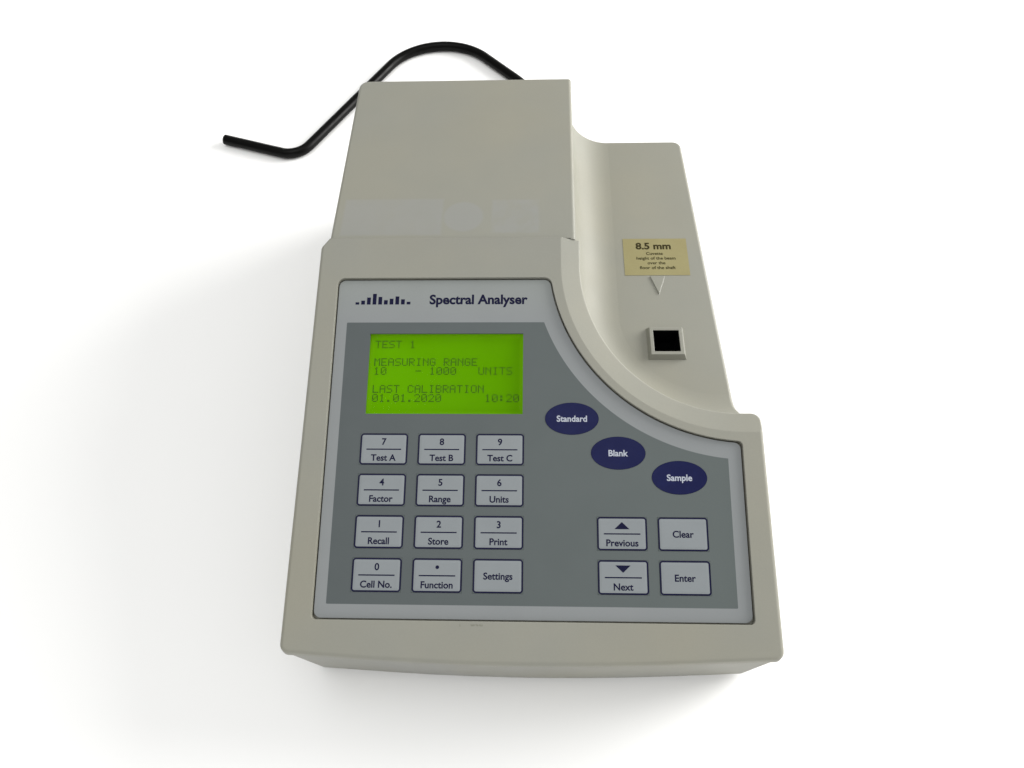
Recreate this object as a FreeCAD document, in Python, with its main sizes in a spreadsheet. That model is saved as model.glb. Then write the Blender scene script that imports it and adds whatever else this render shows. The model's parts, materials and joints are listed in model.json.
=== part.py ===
"""Bench spectrophotometer for square 10 mm cuvettes, as a parametric assembly.

Axes: +X to the operator's right, +Y to the back, +Z up. The origin is on the bench, under the
middle of the housing. Lengths are millimetres and angles are degrees.

The keyboard and the display lie in a sloping panel. Places on it are given in the panel's own
frame: across (along +X), up the slope, and above the printed foil (along the panel's normal).
"""
import FreeCAD
import Part
import Sketcher
import math
import os

from FreeCAD import Placement, Rotation, Vector

doc = FreeCAD.newDocument("Spectrophotometer")

# ---------------------------------------------------------------- driving dimensions

LENGTHS = {
    # housing
    "body_depth": 294.0,
    "tray_half_width": 98.9,
    "cover_lap": 1.5,
    "wall": 2.5,
    "tower_draft": 5.6,
    "cover_draft": 3.4,
    "tray_front_draft": 5.0,
    "tray_side_draft": 1.5,
    "tray_bottom": 3.0,
    "parting_height": 47.0,
    "front_bow": 5.0,
    "front_bow_radius": 1250.0,
    "front_corner_radius": 3.5,
    "tray_corner_radius": 4.5,
    "cover_rear_chamfer": 3.4,
    "back_corner_radius": 5.0,
    "waist_front_half_width": 94.9,
    "waist_back_half_width": 86.5,
    "waist_start": -33.0,
    "waist_end": -41.0,
    "gap": 0.3,
    "edge_radius": 1.6,
    "rim_edge_radius": 0.8,
    # sloping panel
    "panel_slope": 15.4,
    "panel_front": -146.6,
    "panel_front_height": 48.6,
    "bezel_height": 1.5,
    "rim_centre_across": 90.0,
    "rim_centre_back": 21.0,
    "rim_radius": 67.5,
    "rim_bevel_width": 9.0,
    "rim_bevel_drop": 3.0,
    "rim_skirt": 1.0,
    "rim_skirt_depth": 4.4,
    "seam_back": 32.0,
    # tower and deck
    "tower_height": 98.0,
    "tower_right": 20.7,
    "deck_height": 54.0,
    "cove_radius": 23.0,
    # keyboard foil
    "foil_left": -87.6,
    "foil_right": 89.1,
    "foil_bottom": 17.0,
    "foil_top": 165.0,
    "foil_arc_across": 94.1,
    "foil_arc_up": 175.8,
    "foil_arc_radius": 86.1,
    "foil_corner_radius": 3.0,
    "foil_front_radius": 1.4,
    "foil_thickness": 0.8,
    "spacer_thickness": 0.8,
    "circuit_thickness": 0.5,
    "recess_clearance": 0.6,
    # keys
    "key_width": 20.5,
    "key_height": 13.6,
    "key_pitch_across": 25.0,
    "key_pitch_up": 17.5,
    "first_key_across": -62.8,
    "first_key_up": 86.6,
    "key_clearance": 0.08,
    "key_rise": 0.1,
    "oval_width": 23.0,
    "oval_height": 14.1,
    "dome_radius": 4.0,
    "dome_height": 0.3,
    # display
    "display_across": -37.55,
    "display_up": 120.7,
    "window_width": 68.7,
    "window_height": 37.0,
    "glass_width": 71.4,
    "glass_height": 39.4,
    "glass_thickness": 1.8,
    "display_board_width": 88.0,
    "display_board_height": 60.0,
    "board_thickness": 1.6,
    # cuvette shaft
    "shaft_across": 65.7,
    "shaft_back": 3.3,
    "shaft_width": 12.5,
    "shaft_floor": 18.0,
    "beam_height": 8.5,
    "collar_top": 57.0,
    "collar_top_width": 15.8,
    "collar_base_width": 18.2,
    "collar_neck_width": 16.0,
    # mains cord
    "cord_diameter": 6.8,
    "inlet_across": 2.0,
    "inlet_height": 21.5,
}

sheet = doc.addObject("Spreadsheet::Sheet", "dim")
for row, (alias, value) in enumerate(LENGTHS.items(), start=1):
    sheet.set(f"A{row}", alias)
    sheet.set(f"B{row}", str(value))
    sheet.setAlias(f"B{row}", alias)
doc.recompute()


def dim(alias):
    """A driving dimension, as a plain number."""
    return float(sheet.get(alias))


# ---------------------------------------------------------------- shared helpers

HALF_DEPTH = dim("body_depth") / 2
WALL = dim("wall")
GAP = dim("gap")
SEAM_GAP = 0.6
ABOVE = 130.0  # higher than anything on the housing

PANEL = Placement(
    Vector(0, dim("panel_front"), dim("panel_front_height")),
    Rotation(Vector(1, 0, 0), dim("panel_slope")),
)

sub_parts = []


def sub_part(item, label):
    """Names a finished sub-part and puts it on the list that is written out."""
    item.Label = label
    sub_parts.append(item)
    return item


def on_panel(across, up, above=0.0):
    return PANEL.multiply(Placement(Vector(across, up, above), Rotation()))


def at(x, y, z, rotation=None):
    return Placement(Vector(x, y, z), rotation or Rotation())


def along_y():
    """Turns an item that points along +Z so that it points along +Y."""
    return Rotation(Vector(1, 0, 0), -90)


def box(name, width, depth, height, placement, centred=True):
    """A block; each size is a number or an expression on the sheet."""
    item = doc.addObject("Part::Box", name)
    for prop, size in zip(("Length", "Width", "Height"), (width, depth, height)):
        if isinstance(size, str):
            item.setExpression(prop, size)
        else:
            setattr(item, prop, size)
    item.recompute()
    shift = Vector(-item.Length.Value / 2, -item.Width.Value / 2, 0) if centred else Vector()
    item.Placement = placement.multiply(Placement(shift, Rotation()))
    return item


def rod(name, radius, height, placement):
    item = doc.addObject("Part::Cylinder", name)
    for prop, size in (("Radius", radius), ("Height", height)):
        if isinstance(size, str):
            item.setExpression(prop, size)
        else:
            setattr(item, prop, size)
    item.Placement = placement
    return item


def cut(name, base, *tools):
    """base with one tool or several taken away."""
    item = doc.addObject("Part::Cut", name)
    item.Base = base
    item.Tool = tools[0] if len(tools) == 1 else fuse(name + "_tools", *tools)
    return item


def fuse(name, *items):
    item = doc.addObject("Part::MultiFuse", name)
    item.Shapes = list(items)
    return item


def common(name, *items):
    item = doc.addObject("Part::MultiCommon", name)
    item.Shapes = list(items)
    return item


def group(name, *items):
    """Identical loose pieces that share one file."""
    item = doc.addObject("Part::Compound", name)
    item.Links = list(items)
    return item


def rounded_edges(name, base, radius, chosen):
    """base with a fillet on each edge for which chosen(edge) is true."""
    doc.recompute()
    item = doc.addObject("Part::Fillet", name)
    item.Base = base
    item.Edges = [
        (number, radius, radius)
        for number, edge in enumerate(base.Shape.Edges, start=1)
        if chosen(edge)
    ]
    return item


def middle_of(edge):
    return edge.valueAt((edge.FirstParameter + edge.LastParameter) / 2)


def above_panel(point):
    """A point's height above the foil's plane."""
    return PANEL.inverse().multVec(point).z


def bent_line(corners, closed):
    """Lines through corners, each a (point, radius), with an arc of that radius at each corner."""
    count = len(corners)
    bends = []
    for i, (here, radius) in enumerate(corners):
        if radius == 0:
            bends.append((here, None, here))
            continue
        before = (corners[i - 1][0] - here).normalize()
        after = (corners[(i + 1) % count][0] - here).normalize()
        half_angle = before.getAngle(after) / 2
        reach = radius / math.tan(half_angle)
        middle = (before + after).normalize()
        arc_middle = here + middle * (radius / math.sin(half_angle) - radius)
        bends.append((here + before * reach, arc_middle, here + after * reach))
    pieces = []
    for i, (start, arc_middle, end) in enumerate(bends):
        if arc_middle is not None:
            pieces.append(Part.Arc(start, arc_middle, end))
        following = bends[(i + 1) % count][0]
        last = not closed and i == count - 1
        if not last and end.distanceToPoint(following) > 1e-6:
            pieces.append(Part.LineSegment(end, following))
    return pieces


def outline(corners):
    """A closed outline whose corners are (x, y, radius)."""
    return bent_line([(Vector(x, y, 0), radius) for x, y, radius in corners], closed=True)


def free_sketch(name, pieces, placement):
    item = doc.addObject("Sketcher::SketchObject", name)
    item.Placement = placement
    item.addGeometry(pieces)
    return item


def loft(name, *sections):
    item = doc.addObject("Part::Loft", name)
    item.Sections = list(sections)
    item.Solid = True
    item.Ruled = True
    return item


def prism(name, pieces, placement, height):
    """An outline drawn in placement's own XY plane and pushed along its Z axis."""
    item = doc.addObject("Part::Extrusion", name)
    item.Base = free_sketch(name + "_outline", pieces, placement)
    item.DirMode = "Normal"
    item.Solid = True
    item.LengthFwd = height
    return item


def origin_plane(body, role):
    return next(f for f in body.Origin.OriginFeatures if f.Role == role)


def body_sketch(body, name, height=0.0, role="XY_Plane"):
    sketch = body.newObject("Sketcher::SketchObject", name)
    sketch.AttachmentSupport = [(origin_plane(body, role), "")]
    sketch.MapMode = "FlatFace"
    sketch.AttachmentOffset = Placement(Vector(0, 0, height), Rotation())
    return sketch


def add_rectangle(sketch, across, up, width, height):
    """A rectangle about a point, with its width and height bound to expressions."""
    half_w, half_h = 5.0, 5.0
    corners = [
        Vector(across - half_w, up - half_h, 0),
        Vector(across + half_w, up - half_h, 0),
        Vector(across + half_w, up + half_h, 0),
        Vector(across - half_w, up + half_h, 0),
    ]
    first = sketch.GeometryCount
    for i in range(4):
        sketch.addGeometry(Part.LineSegment(corners[i], corners[(i + 1) % 4]))
    for i in range(4):
        sketch.addConstraint(
            Sketcher.Constraint("Coincident", first + i, 2, first + (i + 1) % 4, 1)
        )
    for i in (0, 2):
        sketch.addConstraint(Sketcher.Constraint("Horizontal", first + i))
        sketch.addConstraint(Sketcher.Constraint("Vertical", first + i + 1))
    middle = sketch.addGeometry(Part.Point(Vector(across, up, 0)), True)
    sketch.addConstraint(Sketcher.Constraint("DistanceX", -1, 1, middle, 1, across))
    sketch.addConstraint(Sketcher.Constraint("DistanceY", -1, 1, middle, 1, up))
    sketch.addConstraint(Sketcher.Constraint("Symmetric", first, 1, first + 2, 1, middle, 1))
    wide = sketch.addConstraint(
        Sketcher.Constraint("DistanceX", first, 1, first, 2, 2 * half_w)
    )
    sketch.setExpression(f"Constraints[{wide}]", width)
    high = sketch.addConstraint(
        Sketcher.Constraint("DistanceY", first + 1, 1, first + 1, 2, 2 * half_h)
    )
    sketch.setExpression(f"Constraints[{high}]", height)


def pad(body, sketch, length, name="pad"):
    feature = body.newObject("PartDesign::Pad", name)
    feature.Profile = sketch
    feature.setExpression("Length", length)
    sketch.Visibility = False
    doc.recompute()
    return feature


def pocket_through(body, sketch, name="pocket"):
    feature = body.newObject("PartDesign::Pocket", name)
    feature.Profile = sketch
    feature.Type = "ThroughAll"
    feature.Midplane = True
    doc.recompute()
    return feature


def round_upright_edges(body, radius, chosen=None):
    """A fillet on the body's edges that run along its own Z axis."""
    base = body.Tip
    names = []
    for number, edge in enumerate(base.Shape.Edges, start=1):
        ends = [vertex.Point for vertex in edge.Vertexes]
        upright = len(ends) == 2 and (ends[0] - ends[1]).cross(Vector(0, 0, 1)).Length < 1e-6
        if upright and (chosen is None or chosen(ends[0])):
            names.append(f"Edge{number}")
    feature = body.newObject("PartDesign::Fillet", "round")
    feature.Base = (base, names)
    feature.setExpression("Radius", radius)
    doc.recompute()
    return feature


# ---------------------------------------------------------------- shared places

# The seat of the keyboard under the foil, measured from the foil's surface.
SEAT = -(dim("foil_thickness") + dim("spacer_thickness") + dim("circuit_thickness"))

# Where the keyboard's flat tail passes down through its seat.
TAIL_ACROSS = 18.5

# Housing screws: the front pair hold the keyboard cover and the rear pair the tower and deck.
FRONT_SCREWS = [(-80.0, -108.0), (80.0, -108.0)]
REAR_SCREWS = [(-84.0, 136.0, dim("tower_height") - 1), (74.0, 136.0, dim("deck_height") - 1)]
SCREW_SEAT = 38.0
REAR_SCREW_REACH = [16.0, 6.0]
FRONT_SCREW_REACH = 7.0
PILOT_RADIUS = 1.8
FEET = [(-80.0, -127.0), (80.0, -127.0), (-82.0, 116.0), (70.0, 116.0)]


# ---------------------------------------------------------------- housing outlines

def draft_at(height, angle="tower_draft"):
    """How far a drafted side has moved inwards from where it is at the parting line."""
    return abs(height - dim("parting_height")) * math.tan(math.radians(dim(angle)))


def waist_sides(inward):
    """Right side from the back to the shoulder, which narrows to a waist behind it."""
    side = dim("tray_half_width") - inward
    return [
        (dim("waist_back_half_width") - inward, HALF_DEPTH, dim("back_corner_radius")),
        (dim("waist_front_half_width") - inward, dim("waist_start"), 15),
        (side, dim("waist_end"), 3),
    ]


def front_edge(half_width, inward, corner_radius):
    """The bowed front edge between its two corners, from right to left."""
    corner_y = -HALF_DEPTH + 3.4 + inward
    return [
        (half_width, corner_y, corner_radius),
        (0, corner_y - dim("front_bow"), dim("front_bow_radius")),
        (-half_width, corner_y, corner_radius),
    ]


def tray_outline(height, inset=0.0):
    inward = draft_at(height, "tray_side_draft") + inset
    front_inward = draft_at(height, "tray_front_draft") + inset
    side = dim("tray_half_width")
    corners = [(inward - side, HALF_DEPTH - inset, dim("back_corner_radius"))]
    corners += [(x, y - inset if y == HALF_DEPTH else y, r) for x, y, r in waist_sides(inward)]
    corners += front_edge(side - inward, front_inward, dim("tray_corner_radius"))
    return outline(corners)


def front_cover_outline(height, inset=0.0, rim_inset=0.0):
    """Plan of the keyboard cover: bowed front, straight sides, and the round bay behind."""
    inward = draft_at(height, "cover_draft") + inset
    side = dim("tray_half_width") + dim("cover_lap")
    seam = dim("seam_back") - rim_inset
    bay_left = dim("rim_centre_across") - dim("rim_radius") - rim_inset
    bay_front = dim("rim_centre_back") - dim("rim_radius") - rim_inset
    chamfer = dim("cover_rear_chamfer")
    corners = [(inward - side, seam - 1.3 * chamfer, 0), (inward - side + chamfer, seam, 0)]
    corners += [(bay_left, seam, 0)]
    corners += [(bay_left, bay_front, dim("rim_radius") + rim_inset)]
    corners += [(side - inward, bay_front, max(4 - inset, 1))]
    corners += front_edge(side - inward, inward, dim("front_corner_radius"))
    return outline(corners)


SHOULDER_STEP = 1.3  # how far the rear cover's side steps in under the keyboard cover's shoulder


def shoulder_step(height, inset=0.0, outward=0.0):
    """Corners of the step in the right side that the keyboard cover's shoulder fills."""
    side = dim("tray_half_width") - draft_at(height) - inset
    back = dim("rim_centre_back") - dim("rim_radius") + GAP
    front = back - 15
    return [
        (side - SHOULDER_STEP, front, 0),
        (side + outward, front, 0),
        (side + outward, back, 0),
        (side - SHOULDER_STEP, back, 0),
    ]


def step_outline(height):
    return outline(shoulder_step(height, outward=5))


def rear_cover_outline(height, inset=0.0, opening=0.0, stepped=True):
    """Plan of the tower and deck, with the wall that runs under the keyboard cover's rim."""
    inward = draft_at(height) + inset
    grow = WALL + dim("cover_lap") + GAP + opening
    seam = dim("seam_back") + SEAM_GAP - opening
    bay_left = dim("rim_centre_across") - dim("rim_radius") - grow
    bay_front = dim("rim_centre_back") - dim("rim_radius") - grow
    side = dim("tray_half_width") - inward
    corners = [(-side, HALF_DEPTH - inset, dim("back_corner_radius"))]
    corners += [(x, y - inset if y == HALF_DEPTH else y, r) for x, y, r in waist_sides(inward)]
    if stepped:
        corners += shoulder_step(height, inset)[2:]
        side -= SHOULDER_STEP
    corners += [(side, bay_front, 0), (bay_left, bay_front, dim("rim_radius") + grow)]
    corners += [(bay_left, seam, 0), (inward - dim("tray_half_width"), seam, 0)]
    return outline(corners)


def drafted(name, plan, low, high, *options):
    """A solid whose plan changes evenly from its outline at low to its outline at high."""
    sections = [
        free_sketch(f"{name}_{end}", plan(height, *options), at(0, 0, height))
        for end, height in (("low", low), ("high", high))
    ]
    return loft(name, *sections)


def over_panel(name, above, reach=400.0):
    """Everything higher than a plane parallel to the panel."""
    return box(name, reach, reach, ABOVE, on_panel(0, 60, above))


# ---------------------------------------------------------------- rear cover

def valley(name, grow=0.0):
    """The open space over the deck, with the round cove at its foot."""
    left = dim("tower_right") - grow
    front = dim("rim_centre_back") - dim("rim_centre_across") + left
    radius = dim("rim_centre_across") - left
    floor = dim("deck_height") - grow
    cove = dim("cove_radius") + grow
    far = 160.0
    corners = [(left, far, 0), (left, front, radius), (far, front, 0), (far, far, 0)]
    block = prism(name + "_block", outline(corners), at(0, 0, floor), ABOVE)

    def at_foot(edge):
        box_of = edge.BoundBox
        inner = box_of.XMin < far - 1 and box_of.YMin < far - 1
        return box_of.ZMax < floor + 1e-6 and inner and box_of.Center.x < 120 and box_of.Center.y < 110

    return rounded_edges(name, block, cove, at_foot)


def rear_outer_edge(edge):
    """Edges round the tower's top, down its back and cove, and along the deck's right side."""
    middle, bounds = middle_of(edge), edge.BoundBox
    touch = 0.01
    if middle.y < -45.0 or bounds.ZMin < dim("deck_height") - touch:
        return False
    on_tower_top = bounds.ZMin > dim("tower_height") - touch and middle.y > dim("seam_back") + 5
    on_back = middle.y > HALF_DEPTH - touch and middle.x > dim("tower_right") - touch
    on_right = middle.x > dim("waist_back_half_width") - 3 and bounds.XLength < bounds.YLength + 1
    return on_tower_top or on_back or on_right


def make_rear_cover():
    low, high = dim("parting_height") + GAP, dim("tower_height")
    block = drafted("rear_block", rear_cover_outline, low, high, 0.0, 0.0, False)
    sharp = cut("rear_sharp", block, valley("valley"))
    soft = rounded_edges("rear_soft", sharp, dim("edge_radius"), rear_outer_edge)
    outside = cut("rear_outside", soft, drafted("shoulder_step", step_outline, low - 1, high + 1))
    core = drafted("rear_core", rear_cover_outline, low - 5, high - WALL, WALL, 0.5)
    inside = cut("rear_inside", core, valley("valley_under", WALL))
    # The front of the wall under the rim stays below the keyboard cover's plate.
    above_rim = common(
        "above_rim",
        over_panel("over_rim", -dim("rim_skirt_depth") - GAP),
        box("before_seam", 400, 400, ABOVE, at(0, dim("seam_back") - 200, 0)),
    )
    shell = cut("rear_shell", outside, inside, above_rim)
    posts = [
        rod(f"rear_post_{i}", 4.5, top - low, at(x, y, low))
        for i, (x, y, top) in enumerate(REAR_SCREWS)
    ]
    arrow_half_width, arrow_length, arrow_rise = 3.8, 11.3, 0.6
    arrow_back = dim("shaft_back") + 42.0
    arrow = prism(
        "beam_arrow",
        outline([
            (dim("shaft_across") - 0.9 - arrow_half_width, arrow_back, 0),
            (dim("shaft_across") - 0.9, arrow_back - arrow_length, 0),
            (dim("shaft_across") - 0.9 + arrow_half_width, arrow_back, 0),
        ]),
        at(0, 0, dim("deck_height") - 0.5),
        arrow_rise + 0.5,
    )
    with_posts = fuse("rear_with_posts", shell, arrow, *posts)
    collar_hole = box(
        "collar_hole",
        "dim.collar_neck_width + 2 * dim.gap",
        "dim.collar_neck_width + 2 * dim.gap",
        20.0,
        at(dim("shaft_across"), dim("shaft_back"), dim("deck_height") - 10),
    )
    pilots = [
        rod(f"rear_pilot_{i}", PILOT_RADIUS, REAR_SCREW_REACH[i], at(x, y, low - 1))
        for i, (x, y, _) in enumerate(REAR_SCREWS)
    ]
    return sub_part(cut("rear_cover", with_posts, collar_hole, *pilots), "rear_cover")


# ---------------------------------------------------------------- keyboard cover

def foil_shape(name, grow, bottom, height):
    """A plate with the foil's outline: a rectangle whose top right corner is a round bay."""
    left, right = dim("foil_left") - grow, dim("foil_right") + grow
    low, high = dim("foil_bottom") - grow, dim("foil_top") + grow
    width, tall = right - left, high - low
    plate = box(name + "_plate", width, tall, height,
                on_panel((left + right) / 2, (low + high) / 2, bottom))
    bay = rod(name + "_bay", dim("foil_arc_radius") - grow, height + 2,
              on_panel(dim("foil_arc_across"), dim("foil_arc_up"), bottom - 1))
    shape = cut(name + "_square", plate, bay)
    normal = PANEL.Rotation.multVec(Vector(0, 0, 1))

    def upright(edge):
        ends = [vertex.Point for vertex in edge.Vertexes]
        return len(ends) == 2 and (ends[1] - ends[0]).cross(normal).Length < 1e-4

    def near_front(edge):
        return middle_of(edge).y < (dim("panel_front") + dim("seam_back")) / 2

    # The two corners nearest the operator are tighter than the ones beside the tower and bay.
    back = rounded_edges(name + "_back", shape, dim("foil_corner_radius") + grow,
                         lambda edge: upright(edge) and not near_front(edge))
    return rounded_edges(name, back, max(dim("foil_front_radius") + grow, 0.4),
                         lambda edge: upright(edge) and near_front(edge))


def rim_bevel(name, lower):
    """The space over the sloping band that runs along the rim of the bay."""
    top = dim("bezel_height") - lower
    width, drop = dim("rim_bevel_width"), dim("rim_bevel_drop")
    slope = width / drop
    centre_across = dim("rim_centre_across") + 1.3
    centre_up = 172.0
    fold = dim("rim_radius") + 1.1 + width
    depth, rise = 2 * drop, 12.0
    cone = doc.addObject("Part::Cone", name + "_cone")
    cone.Radius1 = fold - depth * slope
    cone.Radius2 = fold + rise * slope
    cone.Height = depth + rise
    cone.Placement = on_panel(centre_across, centre_up, top - depth)
    bound = rod(name + "_bound", fold, depth + rise, cone.Placement)
    triangle = [(fold, 0, 0), (fold - 3 * width, 0, 0), (fold - 3 * width, -3 * drop, 0)]
    tall = [(x, y, 0) for x, y, _ in triangle]
    wedges = []
    for turn, length in ((0, 40.0), (90, 40.0)):
        # Each wedge continues the cone straight on, past one end of the arc.
        frame = on_panel(centre_across, centre_up, top)
        frame = frame.multiply(Placement(Vector(), Rotation(Vector(0, 0, 1), 180 + turn)))
        frame = frame.multiply(Placement(Vector(), Rotation(Vector(1, 0, 0), 90)))
        wedge = prism(f"{name}_wedge_{turn}", outline(tall), frame, length if turn == 0 else -length)
        wedges.append(wedge)
    return fuse(name, common(name + "_round", cone, bound), *wedges)


def bezel_border(edge):
    """Where the bezel meets the keyboard cover's sides and its bowed front."""
    middle = middle_of(edge)
    on_bezel = abs(above_panel(middle) - dim("bezel_height")) < 0.02
    at_front = middle.y < dim("panel_front") + 8
    return on_bezel and (at_front or abs(middle.x) > dim("waist_front_half_width") + 1)


def rim_border(edge):
    """Where the sloping band along the bay meets the rim's upright wall."""
    heights = [above_panel(vertex.Point) for vertex in edge.Vertexes]
    below_bezel = above_panel(middle_of(edge)) < dim("bezel_height") - 0.1
    along_band = max(heights) - min(heights) < 0.75 * dim("rim_bevel_drop")
    return below_bezel and along_band and edge.BoundBox.ZMin > dim("parting_height") + 20


def make_front_cover():
    low, high = dim("parting_height") + GAP, 112.0
    skirt = dim("rim_skirt")
    block = drafted("front_block", front_cover_outline, low, high)
    sharp = cut("front_sharp", block, over_panel("over_bezel", dim("bezel_height")),
                rim_bevel("rim_bevel", 0.0))
    soft = rounded_edges("front_soft", sharp, dim("edge_radius"), bezel_border)
    outside = rounded_edges("front_outside", soft, dim("rim_edge_radius"), rim_border)
    core = drafted("front_core", front_cover_outline, low - 5, high, WALL, skirt)
    hollow = cut("front_hollow", core, over_panel("over_core", dim("bezel_height") - WALL),
                 rim_bevel("rim_bevel_under", WALL),
                 foil_shape("foil_tray", WALL, SEAT - WALL, 20.0))
    # Along the bay and the seam only a shallow skirt hangs down over the rear cover.
    behind_rim = cut(
        "behind_rim",
        drafted("rear_zone", rear_cover_outline, low - 1, high, -GAP, GAP),
        over_panel("over_skirt", -dim("rim_skirt_depth")),
        box("left_wall_zone", WALL + 30, 400, 200,
            at(-dim("tray_half_width") - 15 + draft_at(70, "cover_draft"), 0, 40)),
    )
    recess = foil_shape("foil_recess", dim("recess_clearance"), SEAT, 20.0)
    opening = box("display_opening", "dim.glass_width + 2 * dim.gap", "dim.glass_height + 2 * dim.gap",
                  20.0, on_panel(dim("display_across"), dim("display_up"), -10))
    tail_slot = box("tail_slot", 26.0, 3.0, 10.0, on_panel(TAIL_ACROSS, 112, -8))
    posts = [
        cut(f"front_post_{i}", rod(f"front_post_rod_{i}", 4.5, 40.0, at(x, y, low)),
            over_panel(f"over_post_{i}", SEAT - 1))
        for i, (x, y) in enumerate(FRONT_SCREWS)
    ]
    studs = [
        rod(f"display_stud_{i}", 2.6, 4.4, on_panel(x, y, SEAT - WALL - 4.4))
        for i, (x, y) in enumerate(display_corners())
    ]
    shell = cut("front_shell", outside, hollow, behind_rim)
    with_posts = fuse("front_with_posts", shell, *posts, *studs)
    pilots = [
        rod(f"front_pilot_{i}", PILOT_RADIUS, FRONT_SCREW_REACH, at(x, y, low - 1))
        for i, (x, y) in enumerate(FRONT_SCREWS)
    ]
    stud_pilots = [
        rod(f"stud_pilot_{i}", 1.05, 5.4, on_panel(x, y, SEAT - WALL - 4.4))
        for i, (x, y) in enumerate(display_corners())
    ]
    return sub_part(
        cut("front_cover", with_posts, recess, opening, tail_slot, *pilots, *stud_pilots),
        "front_cover",
    )


def display_corners():
    """The display board's four fixing points on the panel."""
    half_w = dim("display_board_width") / 2 - 3.5
    half_h = dim("display_board_height") / 2 - 3.5
    return [
        (dim("display_across") + sx * half_w, dim("display_up") + sy * half_h)
        for sx in (-1, 1) for sy in (-1, 1)
    ]


# ---------------------------------------------------------------- base tray and feet

REAR_OPENING = (-29.0, 96.0, 27.0, 32.0)  # middle across, width, middle height, height


def make_base_tray():
    bottom, top = dim("tray_bottom"), dim("parting_height")
    block = drafted("tray_block", tray_outline, bottom, top)
    core = drafted("tray_core", tray_outline, bottom + WALL, top + 5, WALL)
    wells = []
    bores = []
    for i, (x, y) in enumerate(screw_places()):
        wells.append(rod(f"screw_well_{i}", 5.5, top - bottom, at(x, y, bottom)))
        bores.append(rod(f"screw_head_bore_{i}", 4.2, SCREW_SEAT - bottom, at(x, y, bottom)))
        bores.append(rod(f"screw_bore_{i}", 2.2, ABOVE, at(x, y, bottom)))
    posts = [
        rod(f"board_post_{i}", 3.5, board_seat() - bottom - WALL, at(x, y, bottom + WALL))
        for i, (x, y) in enumerate(board_screw_places())
    ]
    for i, (x, y) in enumerate(board_screw_places()):
        bores.append(rod(f"board_pilot_{i}", BOARD_SCREW_RADIUS + 0.05, 7.0, at(x, y, board_seat() - 7)))
    middle, width, height_middle, height = REAR_OPENING
    opening = box("rear_opening", width, 20.0, height, at(middle, HALF_DEPTH, height_middle - height / 2))
    recesses = [
        rod(f"foot_recess_{i}", 7.2, 1.0, at(x, y, bottom)) for i, (x, y) in enumerate(FEET)
    ]
    vents = [
        box(f"vent_{i}", 30.0, 2.2, WALL + 2, at(-45, 52 + 5 * i, bottom - 1)) for i in range(9)
    ]
    hollow = cut("tray_hollow", block, core)
    return sub_part(
        cut("base_tray", fuse("tray_with_wells", hollow, *wells, *posts), opening,
            *bores, *recesses, *vents),
        "base_tray",
    )


def screw_places():
    return FRONT_SCREWS + [(x, y) for x, y, _ in REAR_SCREWS]


def make_rubber_feet():
    feet = [
        rod(f"foot_{i}", 7.0, dim("tray_bottom") + 1.0, at(x, y, 0)) for i, (x, y) in enumerate(FEET)
    ]
    doc.recompute()
    rounded = [
        rounded_edges(f"foot_round_{i}", foot, 1.0, lambda edge: edge.BoundBox.ZMax < 0.01)
        for i, foot in enumerate(feet)
    ]
    return sub_part(group("rubber_feet", *rounded), "rubber_feet")


def screw(name, head_radius, head_height, shank_radius, shank_length, placement):
    """A pan-head screw with a cross recess; the head sits at placement, the shank runs along +Z."""
    head = rod(name + "_head", head_radius, head_height, placement)
    shank = rod(name + "_shank", shank_radius, head_height + shank_length, placement)
    slots = [
        box(f"{name}_slot_{i}", 1.2 * head_radius, 0.22 * head_radius, 0.5 * head_height,
            placement.multiply(Placement(Vector(), Rotation(Vector(0, 0, 1), 90 * i))))
        for i in range(2)
    ]
    return cut(name, fuse(name + "_blank", head, shank), *slots)


def make_housing_screws():
    head_height = 2.6
    screws = []
    for i, (x, y) in enumerate(screw_places()):
        front = i < len(FRONT_SCREWS)
        past_tray = (FRONT_SCREW_REACH if front else REAR_SCREW_REACH[i - len(FRONT_SCREWS)]) - 2
        length = dim("parting_height") - SCREW_SEAT + past_tray
        screws.append(screw(f"housing_screw_{i}", 3.8, head_height, 1.75, length,
                            at(x, y, SCREW_SEAT - head_height)))
    return sub_part(group("housing_screws", *screws), "housing_screws")


# ---------------------------------------------------------------- keyboard foil and keys

def key_places():
    """Each key's name with its middle on the panel."""
    left, top = dim("first_key_across"), dim("first_key_up")
    step, drop = dim("key_pitch_across"), dim("key_pitch_up")
    rows = [["7", "8", "9"], ["4", "5", "6"], ["1", "2", "3"], ["0", "point", "setup"]]
    places = [
        (f"key_{name}", left + step * column, top - drop * row)
        for row, names in enumerate(rows) for column, name in enumerate(names)
    ]
    block = left + 101.0
    places += [
        ("key_up", block, top - 2 * drop),
        ("key_clear", block + step, top - 2 * drop),
        ("key_down", block, top - 3 * drop),
        ("key_enter", block + step, top - 3 * drop),
    ]
    return places


OVAL_KEYS = [("key_standard", 18.0, 100.25), ("key_blank", 37.5, 85.3), ("key_sample", 62.8, 74.95)]


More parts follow.
